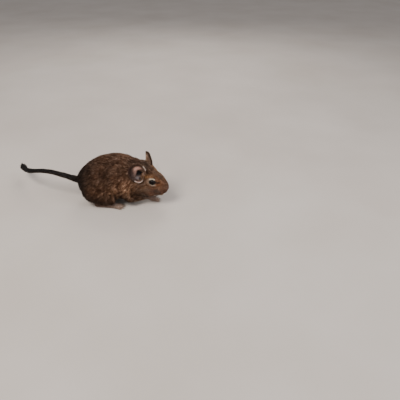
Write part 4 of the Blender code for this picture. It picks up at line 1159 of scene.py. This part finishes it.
def grow_coat(skin, smooth):
    """Tufts over the skin; smooth is where its points were before the small forms were cut in."""
    mesh = skin.data
    rng = np.random.default_rng(SEED)
    p, n, edges = spots(mesh), directions(mesh), edges_of(mesh)
    f = body_fields(smooth)
    coat, hide, bare, damp = markings(p, n, f)
    lie = lie_on_skin(p, n, f, edges)
    m, rho, ray, which, across = eye_fields(p)
    near_eye = ease(rho, 10.5, 6.0)
    length = f["length"] * mix(1.0, table(m, (0.4, 0.28), (1.5, 0.42), (3.5, 0.8), (5, 1.0)), near_eye)
    many = f["many"] * (1 - bare) * mix(1.0, 1.6, near_eye)
    many[bare > 0.9] = 0
    # none inside the mouth's line or under the paws
    many = many * (1 - part_weight(f, "fore", "hind") * ease(p[:, 2], 0.9, 0.3))
    tri, w = sown(mesh, many, TUFTS, rng)

    def at_root(values):
        v = values[tri]
        return (v * (w if v.ndim == 2 else w[:, :, None])).sum(1)

    root, up, d = at_root(p), unit(at_root(n)), at_root(lie)
    d = unit(d - up * (d * up).sum(1, keepdims=True))
    count = len(root)
    side = unit(np.cross(up, d))
    on_face = at_root(part_weight(f, "head")) * ease(at_root(f["h"])[:, 0], -42, -24)
    on_small = np.clip(on_face + at_root(part_weight(f, "fore", "hind", "ear")), 0, 1)
    loose = mix(1.0, 0.45, on_small)
    turn = np.radians((11 * noise(root, 7, 21) + 9 * noise(root, 2.8, 22) + 7 * rng.standard_normal(count)) * loose)
    d = d * np.cos(turn)[:, None] + side * np.sin(turn)[:, None]
    side = unit(np.cross(up, d))
    # the brush of the tail runs on past its end
    brush = at_root(part_weight(f, "tail") * ease(f["tail_u"], 0.86, 0.96))[:, None]
    d = unit(d + 2.0 * brush * unit(at_root(f["lie"])))
    size = at_root(length) * (0.78 + 0.44 * rng.random(count)) * (1 + 0.14 * noise(root, 4.5, 23))
    lift = np.radians(at_root(f["lift"]) * (0.72 + 0.56 * rng.random(count)) * (1 + 0.22 * noise(root, 5.5, 24)))
    wide = at_root(f["width"]) * (0.8 + 0.4 * rng.random(count))
    # tips lean together into locks
    centre = rng.permutation(count)[: max(count // 15, 1)]
    locks = KDTree(len(centre))
    for i, c in enumerate(root[centre]):
        locks.insert(c, i)
    locks.balance()
    own = np.array([locks.find(c)[1] for c in root])
    leader = centre[own]
    tip = root + d * (size * np.cos(lift))[:, None]
    lead = root[leader] + d[leader] * (size[leader] * np.cos(lift[leader]))[:, None]
    gather = (0.42 + 0.2 * rng.random(count)) * (1 - 0.75 * on_small) * (np.linalg.norm(root - root[leader], axis=1) < size)
    tip = mix(tip, lead + (root - root[leader]) * 0.25, gather)
    # and stand off the skin by their lift, whichever way it curves
    ground = KDTree(len(p))
    for i, c in enumerate(p):
        ground.insert(c, i)
    ground.balance()
    under = np.array([ground.find(c)[1] for c in tip])
    high = size * np.sin(lift)
    nn = n[under]
    tip = tip + nn * (high - ((tip - p[under]) * nn).sum(1))[:, None] * (1 - brush)
    ahead = d * np.cos(lift * 1.8)[:, None] + up * np.sin(lift * 1.8)[:, None]
    bend = root + ahead * (size * 0.5)[:, None]
    start = root - up * (0.25 * ease(size, 0.5, 4.0) + 0.08)[:, None]
    middle = 0.36 * start + 0.48 * bend + 0.16 * tip
    # the tuft's root, the corners of its thickest place and its tip; no tufts were sown over the open eye
    run = unit(tip - start)
    across_v = unit(np.cross(up, run))
    top = unit(np.cross(run, across_v))
    a = across_v * (wide * 0.5)[:, None]
    verts = np.stack([start, middle - a, middle + a, middle + top * (wide * 0.42)[:, None], tip], 1)
    verts[:, :, 2] = np.maximum(verts[:, :, 2], 0.04)

    shade = at_root(coat)
    lock_tone = rng.standard_normal(len(centre))[own]
    bright = np.exp((0.20 * rng.standard_normal(count) + 0.50 * lock_tone + 0.10 * noise(root, 2.0, 25)) * (1 - 0.45 * on_small))
    shade = shade * np.clip(bright, 0.40, 2.2)[:, None] ** GREYER
    kind = rng.random(count)
    furry = at_root(part_weight(f, "trunk", "thigh", "arm", "head")) * (1 - 0.4 * on_face)
    black = (kind < 0.13) * furry
    ochre = (kind > 0.90) * furry
    shade = mix(shade, shade * np.array([0.42, 0.37, 0.32]), black)
    shade = mix(shade, shade * np.array([1.50, 1.47, 1.42]), ochre)
    band = np.clip(furry - black, 0, 1)
    uv = place_on_map(root, unwrap_of(skin))
    return verts, np.clip(shade, 0.001, 1), np.stack([rng.random(count), band], 1), uv


# a tuft: its root, the three corners of its thickest place (left, right, top) and its tip
LOCAL_UV = np.array([(0.5, 0), (0, 0.36), (1, 0.36), (0.5, 0.46), (0.5, 1.0)])
TUFT_FACES = [(0, 1, 3), (0, 3, 2), (0, 2, 1), (1, 4, 3), (3, 4, 2), (2, 4, 1)]
TUFT_SHARE = np.array([0, 0.4, 0.4, 0.4, 1.0])


def tuft_mesh(name, verts, shade, extra, uv, mat):
    k, n = verts.shape[:2]
    flat = [i for face in TUFT_FACES for i in face]
    loops = (np.arange(k)[:, None] * n + np.array(flat)[None]).ravel()
    starts = np.arange(k * len(TUFT_FACES)) * 3
    mesh = bpy.data.meshes.new(name)
    mesh.vertices.add(k * n)
    mesh.loops.add(len(loops))
    mesh.polygons.add(len(starts))
    mesh.vertices.foreach_set("co", placed(verts).astype(np.float32).ravel())
    mesh.loops.foreach_set("vertex_index", loops.astype(np.int32))
    mesh.polygons.foreach_set("loop_start", starts.astype(np.int32))
    mesh.update(calc_edges=True)
    mesh.polygons.foreach_set("use_smooth", np.ones(len(starts), bool))
    attribute(mesh, "Col", np.concatenate([np.repeat(shade, n, 0), np.ones((k * n, 1))], 1), "FLOAT_COLOR")
    hair = np.stack([np.tile(TUFT_SHARE, k), np.repeat(extra[:, 0], n), np.repeat(extra[:, 1], n)], 1)
    attribute(mesh, "hair", hair, "FLOAT_VECTOR")
    layer = mesh.uv_layers.new(name="OFBake")
    spread = uv[:, None] + (LOCAL_UV[None] - 0.5) * 0.003
    layer.data.foreach_set("uv", np.clip(spread[:, flat], 0, 1).astype(np.float32).ravel())
    mesh.validate()
    mesh.materials.append(mat)
    obj = bpy.data.objects.new(name, mesh)
    bpy.context.scene.collection.objects.link(obj)
    return obj


# ---------------------------------------------------------------- materials
def material(name, rough, specular=0.5, **more):
    mat = bpy.data.materials.new(name)
    mat.use_nodes = True
    tree = mat.node_tree
    bsdf = tree.nodes["Principled BSDF"]
    bsdf.inputs["Roughness"].default_value = rough
    bsdf.inputs["Specular IOR Level"].default_value = specular
    for key, value in more.items():
        bsdf.inputs[key.replace("_", " ")].default_value = value
    return mat, tree, bsdf


def node(tree, kind, links=(), **settings):
    """A node with its settings; links are (socket, value or another node's output)."""
    made = tree.nodes.new(kind)
    for key, value in settings.items():
        setattr(made, key, value)
    for key, value in links:
        if isinstance(value, bpy.types.NodeSocket):
            tree.links.new(value, made.inputs[key])
        else:
            made.inputs[key].default_value = value
    return made


def ramp(tree, factor, stops, mode="LINEAR"):
    made = node(tree, "ShaderNodeValToRGB", [(0, factor)])
    band = made.color_ramp
    band.interpolation = mode
    while len(band.elements) < len(stops):
        band.elements.new(0.5)
    for e, (at, colour) in zip(band.elements, stops):
        e.position = at
        e.color = (*colour, 1) if hasattr(colour, "__len__") else (colour, colour, colour, 1)
    return made.outputs[0]


def multiplied(tree, a, b, share=1.0):
    made = node(tree, "ShaderNodeMix", data_type="RGBA", blend_type="MULTIPLY")
    made.inputs["Factor"].default_value = share
    tree.links.new(a, made.inputs[6])
    tree.links.new(b, made.inputs[7])
    return made.outputs[2]


def coat_material():
    mat, tree, bsdf = material("coat", 0.68, 0.16)
    colour = node(tree, "ShaderNodeAttribute", attribute_name="Col").outputs["Color"]
    hair = node(tree, "ShaderNodeSeparateXYZ", [(0, node(tree, "ShaderNodeAttribute", attribute_name="hair").outputs["Vector"])])
    jog = node(tree, "ShaderNodeMath", [(0, hair.outputs[1]), (1, 0.16)], operation="MULTIPLY")
    t = node(tree, "ShaderNodeMath", [(0, hair.outputs[0]), (1, jog.outputs[0])], operation="ADD", use_clamp=True)
    plain = ramp(tree, t.outputs[0], [(0.0, 0.55), (0.4, 0.9), (1.0, 1.12)])
    banded = ramp(tree, t.outputs[0], [(0.0, 0.34), (0.38, 0.72), (0.60, 1.30), (0.80, 1.46), (0.96, 0.40)])
    warm = ramp(tree, t.outputs[0], [(0.0, (1.06, 0.98, 0.88)), (0.5, (1.0, 1.0, 1.0)), (0.72, (0.98, 1.01, 1.06)), (1.0, (1.04, 0.99, 0.92))])
    both = node(tree, "ShaderNodeMix", [(6, plain), (7, multiplied(tree, banded, warm))], data_type="RGBA")
    tree.links.new(hair.outputs[2], both.inputs["Factor"])
    tree.links.new(multiplied(tree, colour, both.outputs[2]), bsdf.inputs["Base Color"])
    return mat


def skin_material():
    mat, tree, bsdf = material("skin", 0.6, 0.35)
    place = node(tree, "ShaderNodeTexCoord").outputs["Object"]
    colour = node(tree, "ShaderNodeAttribute", attribute_name="Col").outputs["Color"]
    grain = node(tree, "ShaderNodeTexNoise", [("Vector", place), ("Scale", 900.0), ("Detail", 4.0)]).outputs[0]
    pores = node(tree, "ShaderNodeTexVoronoi", [("Vector", place), ("Scale", 2600.0)]).outputs[0]
    colour = multiplied(tree, colour, ramp(tree, grain, [(0.3, 0.80), (0.7, 1.14)]))
    colour = multiplied(tree, colour, ramp(tree, pores, [(0.0, 0.78), (0.35, 1.0)]), 0.6)
    tree.links.new(colour, bsdf.inputs["Base Color"])
    damp = node(tree, "ShaderNodeAttribute", attribute_name="damp").outputs["Fac"]
    tree.links.new(ramp(tree, damp, [(0.0, 0.62), (1.0, 0.28)]), bsdf.inputs["Roughness"])
    rough = node(tree, "ShaderNodeMath", [(0, grain), (1, pores)], operation="ADD")
    bump = node(tree, "ShaderNodeBump", [("Height", rough.outputs[0]), ("Strength", 0.35), ("Distance", 0.00022)])
    tree.links.new(bump.outputs[0], bsdf.inputs["Normal"])
    return mat


def eye_material():
    mat, tree, bsdf = material("eye", 0.05, 0.16)
    colour = node(tree, "ShaderNodeAttribute", attribute_name="Col").outputs["Color"]
    place = node(tree, "ShaderNodeTexCoord").outputs["Object"]
    streaks = node(tree, "ShaderNodeTexNoise", [("Vector", place), ("Scale", 1500.0), ("Detail", 3.0)]).outputs[0]
    tree.links.new(multiplied(tree, colour, ramp(tree, streaks, [(0.3, 0.7), (0.7, 1.3)])), bsdf.inputs["Base Color"])
    return mat


def horn_material():
    mat, tree, bsdf = material("horn", 0.38, 0.45)
    place = node(tree, "ShaderNodeTexCoord").outputs["Object"]
    streaks = node(tree, "ShaderNodeTexNoise", [("Vector", place), ("Scale", 1400.0), ("Detail", 4.0)]).outputs[0]
    tree.links.new(ramp(tree, streaks, [(0.25, srgb(70, 56, 46)), (0.55, srgb(112, 94, 78)), (0.8, srgb(150, 132, 112))]), bsdf.inputs["Base Color"])
    bump = node(tree, "ShaderNodeBump", [("Height", streaks), ("Strength", 0.3), ("Distance", 0.0001)])
    tree.links.new(bump.outputs[0], bsdf.inputs["Normal"])
    return mat


def whisker_material():
    mat, tree, bsdf = material("whisker", 0.35, 0.5)
    t = node(tree, "ShaderNodeAttribute", attribute_name="along").outputs["Fac"]
    tree.links.new(ramp(tree, t, [(0.0, srgb(30, 24, 20)), (0.4, srgb(52, 42, 36)), (1.0, srgb(150, 132, 116))]), bsdf.inputs["Base Color"])
    return mat


def floor_material():
    mat, tree, bsdf = material("floor", 0.85, 0.2)
    place = node(tree, "ShaderNodeTexCoord").outputs["Object"]
    cloud = node(tree, "ShaderNodeTexNoise", [("Vector", place), ("Scale", 6.0), ("Detail", 5.0)]).outputs[0]
    tree.links.new(ramp(tree, cloud, [(0.3, FLOOR_TONES[0]), (0.7, FLOOR_TONES[1])]), bsdf.inputs["Base Color"])
    return mat


FLOOR_TONES = (srgb(196, 184, 174), srgb(206, 195, 186))


# ---------------------------------------------------------------- the smaller pieces
def shown(obj, mat, slot, *nodes):
    obj.data.materials.clear()
    obj.data.materials.append(mat)
    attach(obj, "root")
    if nodes:
        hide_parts(*nodes)
    return obj


def in_place(obj):
    """From design millimetres to row metres, smooth-shaded."""
    put_spots(obj.data, placed(spots(obj.data)))
    obj.data.shade_smooth()
    return obj


def make_eye(s, name):
    """A ball with a low cornea over a dark brown iris and an upright pupil."""
    c, out, nose, up = EYES[s]
    bm = bmesh.new()
    bmesh.ops.create_uvsphere(bm, u_segments=56, v_segments=40, radius=1.0)
    obj = mm_object(bm, name)
    q = unit(spots(obj.data))
    th = np.arccos(np.clip(q[:, 2], -1, 1))
    r = EYE_RADIUS * (1 + 0.035 * np.exp(-(th / 0.75) ** 2) - 0.012)
    x, y, z = (q * r[:, None]).T
    put_spots(obj.data, c + x[:, None] * nose + y[:, None] * up + z[:, None] * out)
    a, b = th * q[:, 0] / np.maximum(np.hypot(q[:, 0], q[:, 1]), 1e-6), th * q[:, 1] / np.maximum(np.hypot(q[:, 0], q[:, 1]), 1e-6)
    pupil = ease(np.hypot(a / 0.26, b / 0.52), 1.12, 0.92)
    iris = ease(th, 1.02, 0.92)
    rays = 1 + 0.35 * np.sin(np.arctan2(b, a) * 23) * np.sin(np.arctan2(b, a) * 9 + 1)
    colour = mix(srgb(10, 7, 6) + 0 * q, srgb(22, 13, 9) * rays[:, None], iris)
    colour = mix(colour, srgb(4, 3, 3) + 0 * q, pupil)
    attribute(obj.data, "Col", np.concatenate([colour, np.ones((len(q), 1))], 1), "FLOAT_COLOR")
    return obj


def whisker_paths(skin, rng):
    """Roots, directions, lengths and thicknesses of the whiskers."""
    tree = BVHTree.FromPolygons(spots(skin.data).tolist(), [list(q.vertices) for q in skin.data.polygons])
    out = []
    for s in (1, -1):
        rows = [(-1.2, 4, -10.5), (-2.6, 5, -10.8), (-4.1, 5, -10.6), (-5.6, 4, -9.8)]
        for k, (z, many, back) in enumerate(rows):
            for j in range(many):
                x = -4.6 + (back + 4.6) * j / (many - 1)
                at = (x + rng.uniform(-0.15, 0.15), 14.0 * s, z + rng.uniform(-0.12, 0.12))
                long = (11 + 15 * j / (many - 1)) * (1.0 - 0.06 * k) * rng.uniform(0.88, 1.08)
                aim = (-0.25 - 0.16 * j + rng.uniform(-0.07, 0.07), 0.98 * s, 0.34 - 0.2 * k + rng.uniform(-0.08, 0.08))
                out.append((at, aim, long, 0.095))
        for x, z, long in ((-19.5, 15.0, 13), (-22.5, 15.0, 16), (-25.0, 14.4, 12)):
            out.append(((x, 14.0 * s, z), (-0.35, 0.66 * s, 0.75), long, 0.08))
        for x, z in ((-30, -7), (-31.5, -9)):
            out.append(((x, 26.0 * s, z), (-0.7, 0.8 * s, -0.12), 12, 0.08))
    paths = []
    for at, aim, long, thick in out:
        origin, end = HEAD @ Vector(at), HEAD @ Vector((at[0], 0, at[2] * 0.6))
        hit = tree.ray_cast(origin, (end - origin).normalized())
        if hit[0] is None:
            continue
        d = (HEAD.to_3x3() @ Vector(aim)).normalized()
        back = (HEAD.to_3x3() @ Vector((-1, 0, -0.25))).normalized()
        pts = []
        for i in range(13):
            t = i / 12
            sag = back * (long * 0.30 * t * t) + Vector((0, 0, -1)) * (long * 0.10 * t ** 2.4)
            pts.append(hit[0] - d * 0.5 + d * (long * t) + sag)
        paths.append((pts, thick))
    return paths


def make_whiskers(skin):
    rng = np.random.default_rng(SEED + 1)
    verts, faces, share = [], [], []
    for pts, thick in whisker_paths(skin, rng):
        base, around = len(verts), 5
        for i, c in enumerate(pts[:-1]):
            t = i / (len(pts) - 1)
            d = (pts[i + 1] - pts[max(i - 1, 0)]).normalized()
            a = d.orthogonal().normalized()
            b = d.cross(a)
            r = thick * (1 - t) ** 0.8 * (1 if i else 1.25) + 0.012
            for k in range(around):
                w = 2 * math.pi * k / around
                verts.append(c + a * (r * math.cos(w)) + b * (r * math.sin(w)))
                share.append(t)
        verts.append(pts[-1])
        share.append(1.0)
        rings = len(pts) - 1
        faces.append([base + k for k in range(around)][::-1])
        for i in range(rings - 1):
            for k in range(around):
                m = (k + 1) % around
                faces.append([base + i * around + k, base + i * around + m, base + (i + 1) * around + m, base + (i + 1) * around + k])
        for k in range(around):
            faces.append([base + (rings - 1) * around + k, base + (rings - 1) * around + (k + 1) % around, base + rings * around])
    mesh = bpy.data.meshes.new("whiskers")
    mesh.from_pydata([tuple(placed(v)) for v in verts], [], faces)
    attribute(mesh, "along", share, "FLOAT")
    obj = bpy.data.objects.new("whiskers", mesh)
    bpy.context.scene.collection.objects.link(obj)
    mesh.shade_smooth()
    return obj


# ---------------------------------------------------------------- the whole
def look_at(obj, at):
    obj.rotation_euler = (Vector(at) - obj.location).to_track_quat("-Z", "Y").to_euler()


def lamp(name, place, at, size, power, colour):
    light = bpy.data.lights.new(name, "AREA")
    light.shape = "DISK"
    light.size, light.energy, light.color = size, power, colour
    obj = bpy.data.objects.new(name, light)
    bpy.context.scene.collection.objects.link(obj)
    obj.location = place
    look_at(obj, at)


def stage():
    bm = bmesh.new()
    bmesh.ops.create_grid(bm, x_segments=8, y_segments=8, size=3.0)
    mesh = bpy.data.meshes.new("floor")
    bm.to_mesh(mesh)
    bm.free()
    floor = bpy.data.objects.new("floor", mesh)
    floor.location = (0, 0, -0.0002)
    bpy.context.scene.collection.objects.link(floor)
    mesh.materials.append(floor_material())
    floor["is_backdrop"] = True

    camera = bpy.data.objects.new("camera", bpy.data.cameras.new("camera"))
    bpy.context.scene.collection.objects.link(camera)
    camera.data.sensor_width = 36
    camera.data.lens = 36 * 433 / 400
    camera.data.clip_start = 0.01
    camera.location = placed((111.54, -500.22, 310.97))
    camera.rotation_euler = (math.radians(58), 0, 0)
    bpy.context.scene.camera = camera

    lamp("key", (-0.35, -0.55, 0.95), (0, 0, 0.03), 0.55, 11.0, (1.0, 0.97, 0.92))
    lamp("fill", (0.75, -0.35, 0.55), (0, 0, 0.03), 0.7, 4.2, (0.93, 0.96, 1.0))
    lamp("rim", (0.1, 0.8, 0.7), (0, 0, 0.03), 0.6, 4.0, (1.0, 0.98, 0.95))
    world = bpy.data.worlds.new("studio")
    bpy.context.scene.world = world
    world.use_nodes = True
    back = world.node_tree.nodes["Background"]
    back.inputs[0].default_value = (0.86, 0.88, 0.92, 1)
    back.inputs[1].default_value = 0.42


def build():
    skin, claws, smooth = build_skin()
    coat = grow_coat(skin, smooth)
    hair = coat_material()
    verts, shade, extra, uv = coat
    pieces = max(1, math.ceil(len(verts) / TUFTS_IN_A_PIECE))
    for k in range(pieces):
        part = slice(k, None, pieces)
        piece = tuft_mesh("coat_%d" % (k + 1), verts[part], shade[part], extra[part], uv[part], hair)
        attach(piece, "root")

    whiskers = make_whiskers(skin)
    shown(whiskers, whisker_material(), "face_brown")
    p, n = spots(skin.data), directions(skin.data)
    _, colour, _, damp = markings(p, n, body_fields(smooth))
    attribute(skin.data, "Col", np.concatenate([colour, np.ones((len(p), 1))], 1), "FLOAT_COLOR")
    attribute(skin.data, "damp", damp, "FLOAT")
    in_place(skin)
    shown(skin, skin_material(), "coat_brown", *[k for k in frame["nodes"] if not k.endswith("_eye")])
    eye_mat = eye_material()
    for s, side in ((1, "left"), (-1, "right")):
        shown(in_place(make_eye(s, side + "_eyeball")), eye_mat, "eye_black", side + "_eye")
    shown(in_place(mm_object(claws, "claws")), horn_material(), "paw_grey")
    stage()
    total = {o.name: sum(len(q.vertices) - 2 for q in o.data.polygons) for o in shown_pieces() if o.type == "MESH"}
    print("triangles", total, sum(total.values()))


build()
